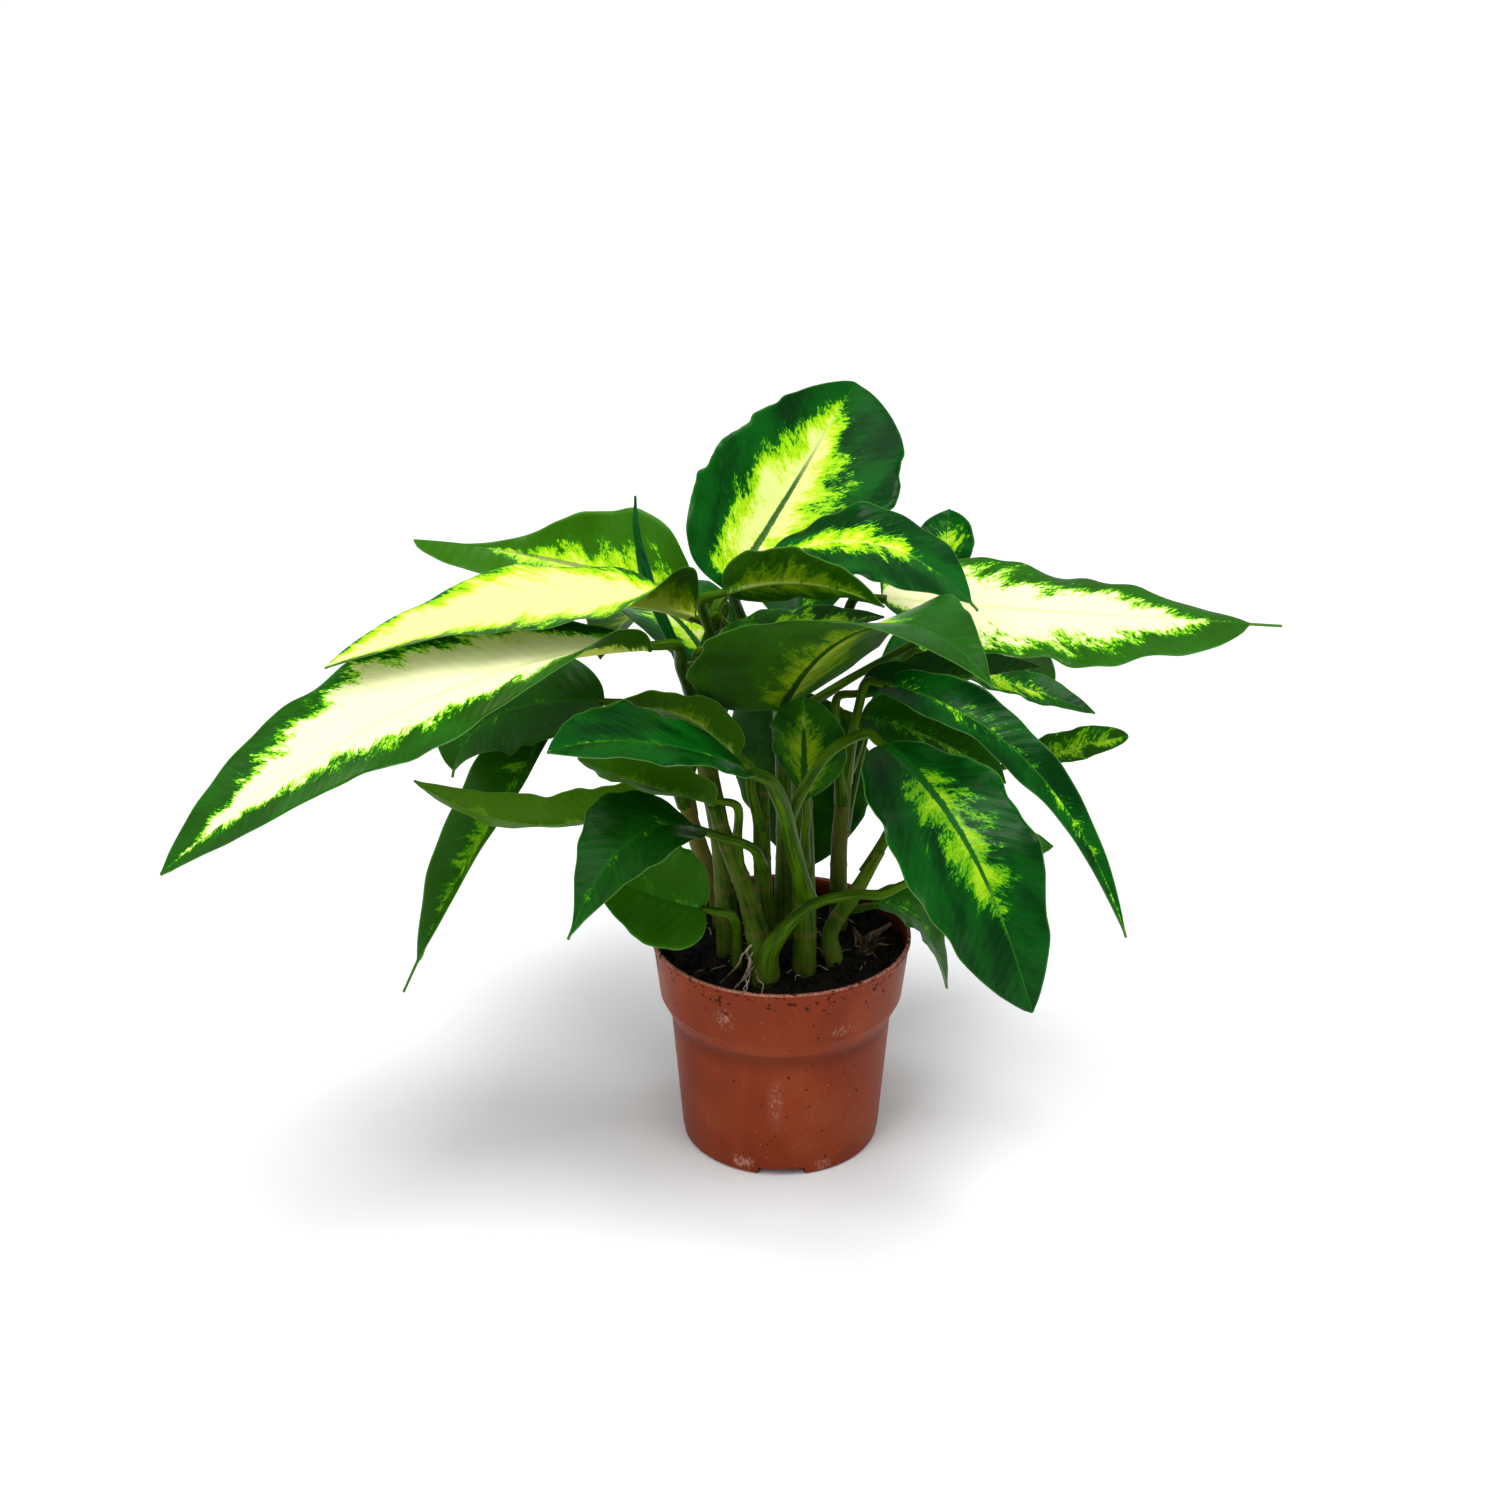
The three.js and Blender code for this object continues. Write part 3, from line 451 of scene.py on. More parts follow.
class Look:
    """A material's node tree, with one method for each pattern that the finishes share."""

    def __init__(self, name):
        self.material = bpy.data.materials.new(name)
        self.material.use_nodes = True
        self.tree = self.material.node_tree
        self.shader = self.tree.nodes["Principled BSDF"]
        self.colour = None

    def link(self, value, socket):
        if isinstance(value, Value):
            self.tree.links.new(value.socket, socket)
        else:
            socket.default_value = value

    def node(self, kind, sockets=None, output=0, **settings):
        """A new node with its settings and inputs, as the Value of one of its outputs."""
        made = self.tree.nodes.new(kind)
        for key, value in settings.items():
            setattr(made, key, value)
        for key, value in (sockets or {}).items():
            self.link(value, made.inputs[key])
        return Value(self, made.outputs[output])

    def attribute(self, name):
        return self.split(self.node("ShaderNodeAttribute", output="Vector", attribute_name=name))

    def place(self):
        return self.node("ShaderNodeTexCoord", output="Object")

    def split(self, vector):
        outputs = self.node("ShaderNodeSeparateXYZ", {0: vector}).socket.node.outputs
        return [Value(self, output) for output in outputs]

    def join(self, x, y, z):
        return self.node("ShaderNodeCombineXYZ", {0: x, 1: y, 2: z})

    def scaled(self, vector, factors):
        sockets = {0: vector, 1: factors}
        return self.node("ShaderNodeVectorMath", sockets, operation="MULTIPLY")

    def noise(self, vector, scale=1.0, detail=2.0, roughness=0.5):
        sockets = {"Scale": scale, "Detail": detail, "Roughness": roughness}
        return self.node("ShaderNodeTexNoise", {"Vector": vector, **sockets})

    def cells(self, vector, scale=1.0):
        """The distance to the nearest of many scattered points."""
        return self.node("ShaderNodeTexVoronoi", {"Vector": vector, "Scale": scale})

    def rise(self, value, low, high):
        """0 below low and 1 above high, with a smooth step between; low may be the larger."""
        sockets = {"Value": value, "From Min": low, "From Max": high}
        return self.node("ShaderNodeMapRange", sockets, interpolation_type="SMOOTHSTEP")

    def blend(self, factor, first, second):
        """The first colour where factor is 0 and the second where it is 1."""
        first, second = (c if isinstance(c, Value) else srgb(*c) for c in (first, second))
        sockets = {0: factor, 6: first, 7: second}
        return self.node("ShaderNodeMix", sockets, output=2, data_type="RGBA")

    def paint(self, factor, colour):
        """Another colour laid over the finish, as thick as factor says."""
        self.colour = self.blend(factor, self.colour, colour)

    def finish(self, roughness, height=None, depth=0.0, **constants):
        """The material, with its bumps depth metres high and other inputs as constants."""
        self.link(self.colour, self.shader.inputs["Base Color"])
        self.link(roughness, self.shader.inputs["Roughness"])
        if height is not None:
            sockets = {"Height": height, "Distance": depth, "Strength": 1.0}
            self.link(self.node("ShaderNodeBump", sockets), self.shader.inputs["Normal"])
        for key, value in constants.items():
            self.shader.inputs[key.replace("_", " ")].default_value = value
        return self.material


# ---- finishes ----
# Screen colours of a leaf: its greens, among them a darker one that on leaves deep in the plant
# is painted shade, the lime and pale bands of its patch, the white heart of the patch, and the
# stripe on the midrib.
UPPER_TONES = dict(
    deep=(0, 52, 8), light=(8, 86, 16), darker_and_shade=(0, 30, 2), aged=(52, 109, 3), mid=(36, 134, 8),
    lime=(150, 216, 6), pale=(208, 236, 40), white=(253, 253, 200), stripe=(16, 88, 18),
)
UNDER_TONES = dict(
    deep=(14, 58, 4), light=(32, 82, 6), darker_and_shade=(0, 30, 2), aged=(56, 97, 1), mid=(44, 92, 2),
    lime=(92, 132, 2), pale=(140, 166, 16), white=(196, 206, 80), stripe=(28, 70, 2),
)
RIB_GREEN = (40, 118, 24)
RIB_PALE = (226, 236, 140)
# The painted highlight along a leaf's thin margin, standing in for light through it.
MARGIN_HIGHLIGHT = (120, 166, 80)
VEIN_STEP = 5.5


def leaf_look(name, under):
    """A leaf's pattern. The distance from the edge of the pale patch, roughened by streaks that
    run along the side veins, turns the green to lime and then to cream."""
    look = Look(name)
    tone = UNDER_TONES if under else UPPER_TONES
    along, across, seed = look.attribute("vein")
    patch, margin, rib = look.attribute("pale")
    cream, olive_and_shade, stripe = look.attribute("tone")
    broad = look.noise(look.join(along * 0.11, across * 0.065, seed), detail=4.0, roughness=0.62)
    fine = look.noise(look.join(along * 0.6, across * 0.28, seed + 7.3), detail=3.0, roughness=0.6)
    large = look.noise(look.join(along * 0.035, across * 0.05, seed + 3.1))
    fleck = look.noise(look.join(along * 1.5, across * 0.8, seed + 5.9))
    field = patch / 6 + (broad - 0.5) * 7.0 + (large - 0.5) * 3
    field = field + (fine - 0.5) * 3.2 + (fleck - 0.5) * 3.0
    veins = (along / VEIN_STEP + (broad - 0.5) * 0.8).math("PINGPONG", 0.5)
    vein_line = look.rise(veins, 0.1, 0.02)

    green = look.rise(large + (fine - 0.5) * 0.3, 0.35, 0.65)
    look.colour = look.blend(green, tone["deep"], tone["light"])
    look.paint(olive_and_shade, tone["aged"])
    # Where olive is below 0, a darker green: some leaves' own darker tone, and painted shade on leaves
    # deep in the plant.
    look.paint(olive_and_shade * -1.0, tone["darker_and_shade"])
    look.paint(vein_line * 0.12, tone["light"])
    glow = (0.35 + cream * 1.6).math("MINIMUM", 1.0) * (0.75 if under else 1.0)
    look.paint(look.rise(field, -0.5, 0.1) * (0.5 + glow * 0.5), tone["mid"])
    look.paint(look.rise(field, 0.0, 0.55) * glow, tone["lime"])
    look.paint(look.rise(field, 0.5, 2.0) * glow, tone["pale"])
    whiter = look.rise(field, 2.4 - cream * 2.0, 4.2 - cream * 2.8) * cream
    look.paint(whiter, tone["white"])
    look.paint(vein_line * look.rise(field, 0.6, 1.4) * 0.08, tone["lime"])

    ridge = look.rise(rib + (fine - 0.5) * stripe * 1.6 - stripe * 0.5, 1.15, 0.55)
    plain = look.blend(look.rise(field, 0.3, 1.2) * glow, RIB_GREEN, RIB_PALE)
    ridge_colour = look.blend(stripe * 1.8, plain, tone["stripe"])
    look.paint(ridge * (0.4 + stripe), ridge_colour)
    # Painted highlight: a pale line along the margin.
    look.paint(look.rise(margin, 0.7, 0.15) * 0.3, MARGIN_HIGHLIGHT)

    rise = veins * (-0.6 if under else 0.6) + (fine - 0.5) * 0.25
    gloss = (0.5 if under else 0.33) + (large - 0.5) * 0.2 + (fine - 0.5) * 0.12
    return look.finish(
        gloss, rise, 0.0004,
        Specular_IOR_Level=0.03 if under else 0.09,
        Subsurface_Weight=0.25, Subsurface_Radius=(0.6, 1.0, 0.2), Subsurface_Scale=0.0015,
    )


STEM_GREENS = (36, 68, 2), (68, 102, 2)
LEAFY_GREENS = (8, 62, 26), (20, 92, 34)


def stem_look(name, leafy=False):
    """Fleshy green stems with fine streaks along them, dark specks, and scars round the cane."""
    look = Look(name)
    along, side, up = look.attribute("grain")
    ring, age, height = look.attribute("skin")
    streaks = look.noise(look.join(along * 0.025, side * 0.9, up * 0.9), detail=3.0)
    patches = look.noise(look.join(along * 0.08, side * 0.2, up * 0.2))
    specks = look.cells(look.join(along * 0.45, side * 0.6, up * 0.6))
    shade, fresh = LEAFY_GREENS if leafy else STEM_GREENS
    look.colour = look.blend(look.rise(streaks * 0.65 + patches * 0.35, 0.38, 0.62), shade, fresh)
    corky = look.blend(patches, (96, 92, 40), (124, 104, 56))
    look.paint(age * look.rise(patches + age * 0.5, 0.45, 0.85), corky)
    blanched = look.rise(height, 22.0, 4.0)
    look.paint(blanched * 0.4, (112, 142, 50))
    look.paint(ring * 0.6, (104, 92, 44))
    dots = look.rise(specks, 0.13, 0.07) * look.rise(patches, 0.42, 0.6)
    look.paint(dots * (0.0 if leafy else 0.85), (34, 30, 14))
    soiled = look.rise(height + (patches - 0.5) * 14, 6.0, 0.0)
    look.paint(soiled * 0.7, (44, 34, 20))
    rise = streaks * 0.7 - dots * 0.4 - ring * 0.3
    gloss = 0.36 + (patches - 0.5) * 0.2 + age * 0.25 + soiled * 0.2
    return look.finish(
        gloss, rise, 0.0004, Specular_IOR_Level=0.05,
        Subsurface_Weight=0.15, Subsurface_Radius=(0.6, 1.0, 0.3), Subsurface_Scale=0.002,
    )


def fibre_look(name, dark, light):
    """Dry fibres: streaks along the strand between a dark and a light brown."""
    look = Look(name)
    along, side, up = look.attribute("grain")
    streaks = look.noise(look.join(along * 0.06, side * 1.4, up * 1.4), detail=4.0, roughness=0.6)
    blotches = look.noise(look.join(along * 0.2, side * 0.2, up * 0.2))
    look.colour = look.blend(look.rise(streaks, 0.4, 0.6), dark, light)
    look.paint(look.rise(blotches, 0.5, 0.68) * 0.8, (24, 18, 13))
    return look.finish(0.75 + (streaks - 0.5) * 0.3, streaks, 0.0008)


def soil_look(name):
    """Damp peat: near-black crumbs with rusty and pale grains."""
    look = Look(name)
    place = look.place()
    grain = look.noise(place, scale=700.0, detail=5.0, roughness=0.65)
    clods = look.noise(place, scale=120.0, detail=3.0)
    bits = look.cells(place, scale=420.0)
    look.colour = look.blend(look.rise(grain, 0.4, 0.66), (6, 5, 4), (27, 20, 14))
    look.paint(look.rise(clods, 0.52, 0.7) * 0.4, (46, 31, 19))
    pale_bits = look.rise(bits, 0.16, 0.08) * look.rise(clods, 0.5, 0.6)
    look.paint(pale_bits, (120, 98, 70))
    rise = grain * 0.8 + clods
    return look.finish(0.72 + (grain - 0.5) * 0.5, rise, 0.0016, Specular_IOR_Level=0.15)


# Scuffed ovals on the pot: centre, half sizes, and how worn each is.
BODY_SCUFF = ((-3, -50, 40), (6, 12, 22), 0.5)
SCUFFS = [
    ((-18, -44, 6), (9, 12, 6), 1.0), ((19, -42, 4), (8, 12, 6), 0.7), BODY_SCUFF,
    ((-26, -52, 86), (8, 12, 9), 0.7), ((28, -50, 80), (14, 12, 5), 0.6),
]


def oval(look, place, centre, size):
    """1 at the centre of an oval on the pot and 0 from its edge outwards."""
    sockets = {0: place, 1: tuple(c * MM for c in centre)}
    away = look.node("ShaderNodeVectorMath", sockets, operation="SUBTRACT")
    away = look.scaled(away, tuple(1 / (s * MM) for s in size))
    length = look.node("ShaderNodeVectorMath", {0: away}, output="Value", operation="LENGTH")
    return look.rise(length, 1.0, 0.2)


def pot_look(name):
    """Moulded terracotta plastic: faint mould flow, scuffs, chalky specks and splashes of soil,
    with a band of painted shade under the collar and a painted highlight along the lip.
    """
    look = Look(name)
    place = look.place()
    x, y, z = look.split(place)
    flow = look.noise(look.scaled(place, (60.0, 60.0, 14.0)), detail=3.0)
    cloud = look.noise(place, scale=28.0)
    grain = look.noise(place, scale=1500.0)
    scratch = look.noise(look.scaled(place, (900.0, 900.0, 420.0)), detail=5.0, roughness=0.75)
    specks = look.cells(place, scale=330.0)
    shade = look.rise(flow * 0.5 + cloud * 0.5, 0.3, 0.7)
    look.colour = look.blend(shade, (120, 44, 14), (140, 55, 21))
    look.paint(look.rise(cloud, 0.5, 0.75) * 0.35, (140, 74, 38))

    scuffed = sum(oval(look, place, centre, size) * worn for centre, size, worn in SCUFFS)
    scuffed = (scuffed + look.rise(cloud, 0.56, 0.7) * 0.2).math("MINIMUM", 1.0)
    marks = look.rise(scratch + scuffed * 0.16, 0.56, 0.74) * scuffed
    look.paint(oval(look, place, *BODY_SCUFF[:2]) * 0.15, (168, 100, 76))
    look.paint(marks * 0.6, (222, 178, 158))
    foot = look.rise(z, 12 * MM, 1 * MM)
    chalk = look.rise(specks, 0.14, 0.08) * look.rise(scratch, 0.48, 0.6)
    look.paint(chalk * (0.35 + foot * 0.4), (226, 190, 166))
    # Painted shade: a dark band on the body just below the collar's overhang.
    painted_collar_shade = look.rise(z, 68.5 * MM, 67 * MM) * look.rise(z, 54 * MM, 65 * MM)
    look.paint(painted_collar_shade * 0.55, (84, 28, 8))
    # Painted highlight: a thin pale line round the top of the lip, broken up by the scratch noise.
    painted_lip_highlight = look.rise(z, (POT_HEIGHT - 1.2) * MM, (POT_HEIGHT - 0.2) * MM)
    look.paint(painted_lip_highlight * look.rise(scratch, 0.35, 0.6) * 0.8, (212, 150, 132))

    near_rim = look.rise(z, 86 * MM, 100 * MM)
    dirt_spots = look.noise(place, scale=300.0, detail=3.0, roughness=0.6)
    dirt = look.rise(dirt_spots + near_rim * 0.09, 0.68, 0.71)
    look.paint(dirt * 0.85, (36, 22, 14))
    inner = look.rise((x * x + y * y).math("SQRT"), 58.5 * MM, 57.5 * MM) * near_rim
    look.paint(inner * look.rise(dirt_spots, 0.2, 0.45) * 0.92, (36, 21, 14))
    gloss = 0.42 + (flow - 0.5) * 0.2 + marks * 0.25 + dirt * 0.4
    rise = grain * 0.15 + marks * 0.5 + dirt * 1.5 + cloud * 0.5
    return look.finish(gloss, rise, 0.0003, Specular_IOR_Level=0.1)


def floor_look(name):
    """The studio's pale floor, very faintly speckled."""
    look = Look(name)
    speckle = look.noise(look.place(), scale=90.0)
    look.colour = look.blend(speckle * 0.15, (243, 244, 246), (235, 236, 238))
    return look.finish(0.85, Specular_IOR_Level=0.2)


# ---- leaves ----
def midrib(path, t):
    """The midrib and its direction at each t: a parabola through three points, or a cubic through
    four points at t = 0, 1/3, 2/3 and 1."""
    path = np.array(path, float)
    r = 1 - t
    if len(path) == 3:
        hull = np.stack([path[0], 2 * path[1] - (path[0] + path[2]) / 2, path[2]])
        place = np.stack([r * r, 2 * r * t, t * t], axis=-1)
        slope = np.stack([-r, r - t, t], axis=-1)
    else:
        first = np.array([-5, 18, -9, 2]) / 6 @ path
        second = np.array([2, -9, 18, -5]) / 6 @ path
        hull = np.stack([path[0], first, second, path[3]])
        place = np.stack([r**3, 3 * r * r * t, 3 * r * t * t, t**3], axis=-1)
        slope = np.stack([-r * r, r * r - 2 * r * t, 2 * r * t - t * t, t * t], axis=-1)
    return place @ hull, unit(slope @ hull)


def pair(value):
    """A pair of values, which a table gives as one where they are the same."""
    return value if isinstance(value, tuple) else (value, value)


def either(value, left):
    """The second of a pair of values where left is true, and the first elsewhere."""
    return np.where(left, pair(value)[1], pair(value)[0])


def half_width(leaf, t, left):
    """Half the width at t: t^p (1 - t)^q over its own maximum, with the tip drawn out by drip."""
    q = either(leaf.get("taper", 0.85), left)
    belly = either(leaf.get("belly", 0.42), left)
    p = q * belly / (1 - belly)
    x = np.clip(t / (1 - leaf.get("drip", 0)), 0, 1)
    shape = x**p * (1 - x) ** q / (belly**p * (1 - belly) ** q)
    wide = leaf["width"] / 2 * either(leaf.get("halves", 1), left) * shape
    return np.maximum(wide, 2 - 1.4 * t)


def section_frame(leaf, t):
    """The midrib at each t, its direction, and the side and the upward direction of the
    cross-section, which leans round the midrib."""
    at, along = midrib(leaf["path"], t[:, 0])
    heading = np.array(leaf["path"][-1], float) - np.array(leaf["path"][0], float)
    heading[2] = 0
    heading = unit(heading)
    side = np.array([-heading[1], heading[0], 0])
    side = unit(side - along * (along @ side)[:, None])
    up = np.cross(along, side)
    first, last = pair(leaf["roll"])
    lean = np.radians(first + (last - first) * t)
    s = side * np.cos(lean) + up * np.sin(lean)
    n = up * np.cos(lean) - side * np.sin(lean)
    return [vectors[:, None, :] for vectors in (at, along, s, n)]


def blade(leaf, t, v, seed):
    """The middle surface of a leaf over t along it and v across it, its normal, and the half width.
    Each half of a cross-section is an arc that leaves the midrib at the angle fold and turns
    through cup towards the margin. The margin ripples, a finer crimp and soft dents roughen it,
    the width wavers by a twentieth, the lobe draws the margin back at the base, and curl folds a
    half up near its base."""
    at, along, s, n = section_frame(leaf, t)
    width = leaf["width"]
    left = v > 0
    sign = np.where(left, 1, -1)
    a = np.abs(v)
    w = half_width(leaf, t, left)
    flatter = np.minimum(1, w / FULL_FOLD_WIDTH)
    cup = np.radians(either(leaf["cup"], left)) * flatter
    turn = np.where(np.abs(cup) < 1e-3, 1e-3, cup)
    curl = either(leaf.get("curl", 0), left) * np.maximum(0, 1 - t / CURL_END) ** 1.5
    fold = np.radians(leaf.get("fold", 8) + curl) * flatter
    waver = lumps(t * width * 2.4 + 50 * seed, 40.0 * left, 9, 6)
    w = w * (1 + 0.05 * np.minimum(1, w / 8) * waver)
    angle = fold + turn * a
    x = w * (np.sin(angle) - np.sin(fold)) / turn
    z = w * (np.cos(fold) - np.cos(angle)) / turn

    height, count, phase = leaf.get("wave", (1.2, 3, 0))
    fade = np.sin(np.pi * np.minimum(1, t * 1.1)) * np.minimum(1, w / 12)
    wave = 2 * np.pi * count * t
    ripple = height * a**2 * fade * np.sin(wave + phase + sign * 0.9)
    crimp = 0.3 * height * a**3 * fade * np.sin(2.6 * wave + 2.1 * phase + sign * seed)
    dents = 0.55 * fade * a * lumps(x * sign + 90 * seed, t * 3 * width, 11, 5)
    lobe = leaf.get("lobe", width * 0.1) * a**2 * (1 - t) ** 6 * np.minimum(1, 2 * w / width)
    lift = (z + ripple + crimp + dents)[..., None]
    middle = at + s * (sign * x)[..., None] + n * lift - along * lobe[..., None]
    normal = n * np.cos(angle)[..., None] - s * (sign * np.sin(angle))[..., None]
    return middle, normal, w


LEAF_ROWS = 84
LEAF_COLUMNS = 31
MARGIN_HALF = 0.1


def leaf_shell(leaf, patch, seed):
    """Upper and under face of the blade, thin at the margin, with a groove over the midrib and a
    round rib under it that is as thick as the petiole at the base and fades to the tip."""
    u = np.linspace(0, 1, LEAF_ROWS)[:, None]
    t = 0.5 * u + 0.5 * (0.5 - 0.5 * np.cos(np.pi * u))
    spread = np.linspace(-1, 1, LEAF_COLUMNS)[None, :]
    v = np.sign(spread) * np.abs(spread) ** 1.35
    middle, normal, w = blade(leaf, t, v, seed)
    a = np.abs(v)
    from_rib = a * w
    half = MARGIN_HALF + (BLADE / 2 - MARGIN_HALF) * (1 - a**6)
    size = min(1, leaf["width"] / 50)
    rib_half = 0.45 + 1.5 * (1 - t) ** 1.5 * size
    bulge = (0.35 + 2.1 * (1 - t) ** 2 * size) * np.exp(-((from_rib / rib_half) ** 2))
    groove = 0.3 * (1 - t) * np.exp(-((from_rib / (0.6 * rib_half)) ** 2))
    upper = middle + normal * (half - groove)[..., None]
    under = middle - normal * (half + bulge)[..., None]

    path = np.linalg.norm(np.diff(middle[:, LEAF_COLUMNS // 2], axis=0), axis=-1)
    length = np.concatenate([[0], np.cumsum(path)])[:, None]
    vein = length - 0.55 * from_rib - 0.25 * from_rib**2 / (leaf["width"] / 2)
    (start, end), reach, cream, olive_and_shade, stripe = patch
    bow = 1 - np.abs((2 * t - start - end) / (end - start)) ** 3
    reach = either(reach, v > 0)
    inside = (np.where(reach > 0, reach * bow, reach) - a) * leaf["width"] / 2
    fading = stripe * smooth((0.85 - t) / 0.35)
    fields = dict(
        vein=(vein, from_rib, seed * 11.0 + 40.0 * (v > 0)),
        pale=(inside, (1 - a) * w, from_rib / rib_half),
        tone=(cream, olive_and_shade, fading),
    )

    def both(top, bottom):
        """A ring goes along the under face and comes back along the upper one."""
        return np.concatenate([bottom, top[:, ::-1]], axis=1)

    finish = np.repeat([1, 0], LEAF_COLUMNS)
    finish[[LEAF_COLUMNS - 1, -1]] = 0
    for key, parts in fields.items():
        grid = np.stack([np.broadcast_to(part, w.shape) for part in parts], axis=-1)
        fields[key] = both(grid, grid)
    shell = Shell()
    shell.add(both(upper, under), finish, **fields)
    return shell


# ---- stems ----
def smooth_line(points, count):
    """A centripetal Catmull-Rom curve through the points, at even steps of its length, and the
    length up to each step."""
    p = np.array(points, float)
    p = np.concatenate([[2 * p[0] - p[1]], p, [2 * p[-1] - p[-2]]])
    knots = np.sqrt(np.linalg.norm(np.diff(p, axis=0), axis=-1))
    pieces = []
    for k in range(len(p) - 3):
        before, span, after = knots[k : k + 3]
        p0, p1, p2, p3 = p[k : k + 4]
        m1 = ((p1 - p0) / before - (p2 - p0) / (before + span) + (p2 - p1) / span) * span
        m2 = ((p2 - p1) / span - (p3 - p1) / (span + after) + (p3 - p2) / after) * span
        x = np.linspace(0, 1, 40, endpoint=False)[:, None]
        cubic = 2 * (p1 - p2) + m1 + m2
        square = 3 * (p2 - p1) - 2 * m1 - m2
        pieces.append(p1 + m1 * x + square * x**2 + cubic * x**3)
    line = np.concatenate([*pieces, p[-2:-1]])
    length = np.concatenate([[0], np.cumsum(np.linalg.norm(np.diff(line, axis=0), axis=-1))])
    even = np.linspace(0, length[-1], count)
    return np.stack([np.interp(even, length, line[:, k]) for k in range(3)], axis=-1), even


def tube(
    points, radii, count=48, sides=20, rings=(), channel=0.0, seam=0.0, flare=0.0, age=0.0, shift=0.0
):
    """A stem along a smooth line. Its radius runs smoothly through radii at even steps, swells at
    the rings of the cane and at its flared foot, and dips where a channel runs along the upper
    side. seam makes the section one turn of a spiral, as on a rolled leaf. Also returns the
    fields that the finishes read, with the pattern moved by shift along the stem."""
    line, length = smooth_line(points, count)
    along = unit(np.gradient(line, axis=0))
    start = np.array([1.0, 0, 0]) if np.abs(along[:, 0]).max() < 0.9 else np.array([0, 1.0, 0])
    side = unit(start - along * (along @ start)[:, None])
    up = np.cross(along, side)
    at = np.linspace(0, len(radii) - 1, count)
    k = np.minimum(np.floor(at).astype(int), len(radii) - 2)
    r = np.array(radii, float)
    radius = r[k] + (r[k + 1] - r[k]) * smooth(at - k)
    collar = sum((np.exp(-(((length - ring) / 1.1) ** 2)) for ring in rings), np.zeros(count))
    radius = radius * (1 + 0.06 * collar) * (1 + flare * np.exp(-length / 9))
    theta = 2 * np.pi * np.arange(sides)[None, :] / sides
    crown = np.arctan2(up[:, 2], side[:, 2])[:, None]
    off = np.angle(np.exp(1j * (theta - crown)))
    dip = 1 - channel * np.exp(-((off / 0.55) ** 2)) + seam * theta / (2 * np.pi)
    reach = radius[:, None] * (dip + 0.015 * np.sin(5 * theta + 0.05 * length[:, None]))
    x, y = reach * np.cos(theta), reach * np.sin(theta)
    surface = line[:, None] + side[:, None] * x[..., None] + up[:, None] * y[..., None]
    grain = np.broadcast_arrays(length[:, None] + shift, x, y)
    skin = np.broadcast_arrays(collar[:, None], age, surface[..., 2] - SOIL_Z)
    return surface, np.stack(grain, axis=-1), np.stack(skin, axis=-1)


def petiole_points(stem):
    """A petiole runs into the base of its leaf, in line with the midrib."""
    if not stem["to"]:
        return stem["path"]
    at, along = midrib(LEAVES[stem["to"]]["path"], np.array([0.0]))
    near = at[0] - LEAF_GAP * along[0]
    return [*stem["path"], near - 11 * along[0], near - 3 * along[0], near + 2.5 * along[0]]


def shoot_shell(name, stems):
    """A cane, with a ring wherever an old leaf was, and the petioles and spear that leave it."""
    shell = Shell()
    for index, stem in enumerate(stems):
        radii, rolled = stem["radii"], stem["rolled"]
        cane = not stem["to"] and not rolled
        if stem["to"]:
            radii = [*radii, radii[-1], radii[-1] * 0.8]
        flare = CANE_FLARE if index == 0 else SHEATH_FLARE
        rings, grain, skin = tube(
            petiole_points(stem), radii, count=60,
            rings=np.cumsum(RANDOM.uniform(*RING_STEP, RING_COUNT)) if cane else (),
            channel=CHANNEL if stem["to"] else 0.0, seam=SEAM if rolled else 0.0,
            flare=0.0 if rolled else flare, age=CANE_AGE.get(name, YOUNG) if cane else 0.0,
            shift=index * 57.0,
        )
        shell.add(rings, int(rolled), grain=grain, skin=skin)
    return shell


def strands(shell, fibres, sag, radius, seed):
    """Dry strands, each a thin wavering tube from a start to an end that sags by sag in between."""
    rng = np.random.default_rng(seed)
    u = np.linspace(0, 1, 6)[:, None]
    for index, ends in enumerate(fibres):
        start, end = np.array(ends, float)
        wander = rng.normal(0, 1, (6, 3)) * np.linalg.norm(end - start) * 0.07
        points = start + (end - start) * u + wander * np.sin(np.pi * u)
        points[:, 2] -= (sag * 4 * u * (1 - u))[:, 0]
        thick = radius * rng.uniform(0.6, 1.3)
        radii = [thick, thick * 1.1, thick * 0.7, thick * 0.3]
        rings, grain, skin = tube(points, radii, count=22, sides=6, shift=index * 31.0)
        shell.add(rings, 1, grain=grain, skin=skin)


def stub_shell():
    """The dry cane, ragged all over, with loose fibres at its broken end."""
    shell = Shell()
    for stem in SHOOTS["dead_stub"]:
        rings, grain, skin = tube(stem["path"], stem["radii"], count=40, sides=16, flare=0.1)
        length, x, y = np.moveaxis(grain, -1, 0)
        ragged = 1 + 0.2 * lumps(length, 9 * np.arctan2(y, x), 2.5, 9)
        middle = rings.mean(axis=1, keepdims=True)
        shell.add(middle + (rings - middle) * ragged[..., None], grain=grain, skin=skin)
    strands(shell, STUB_FIBRES, sag=-1.0, radius=0.5, seed=21)
    return shell


# ---- pot and soil ----
ROUND = np.arange(240) * 2 * np.pi / 240


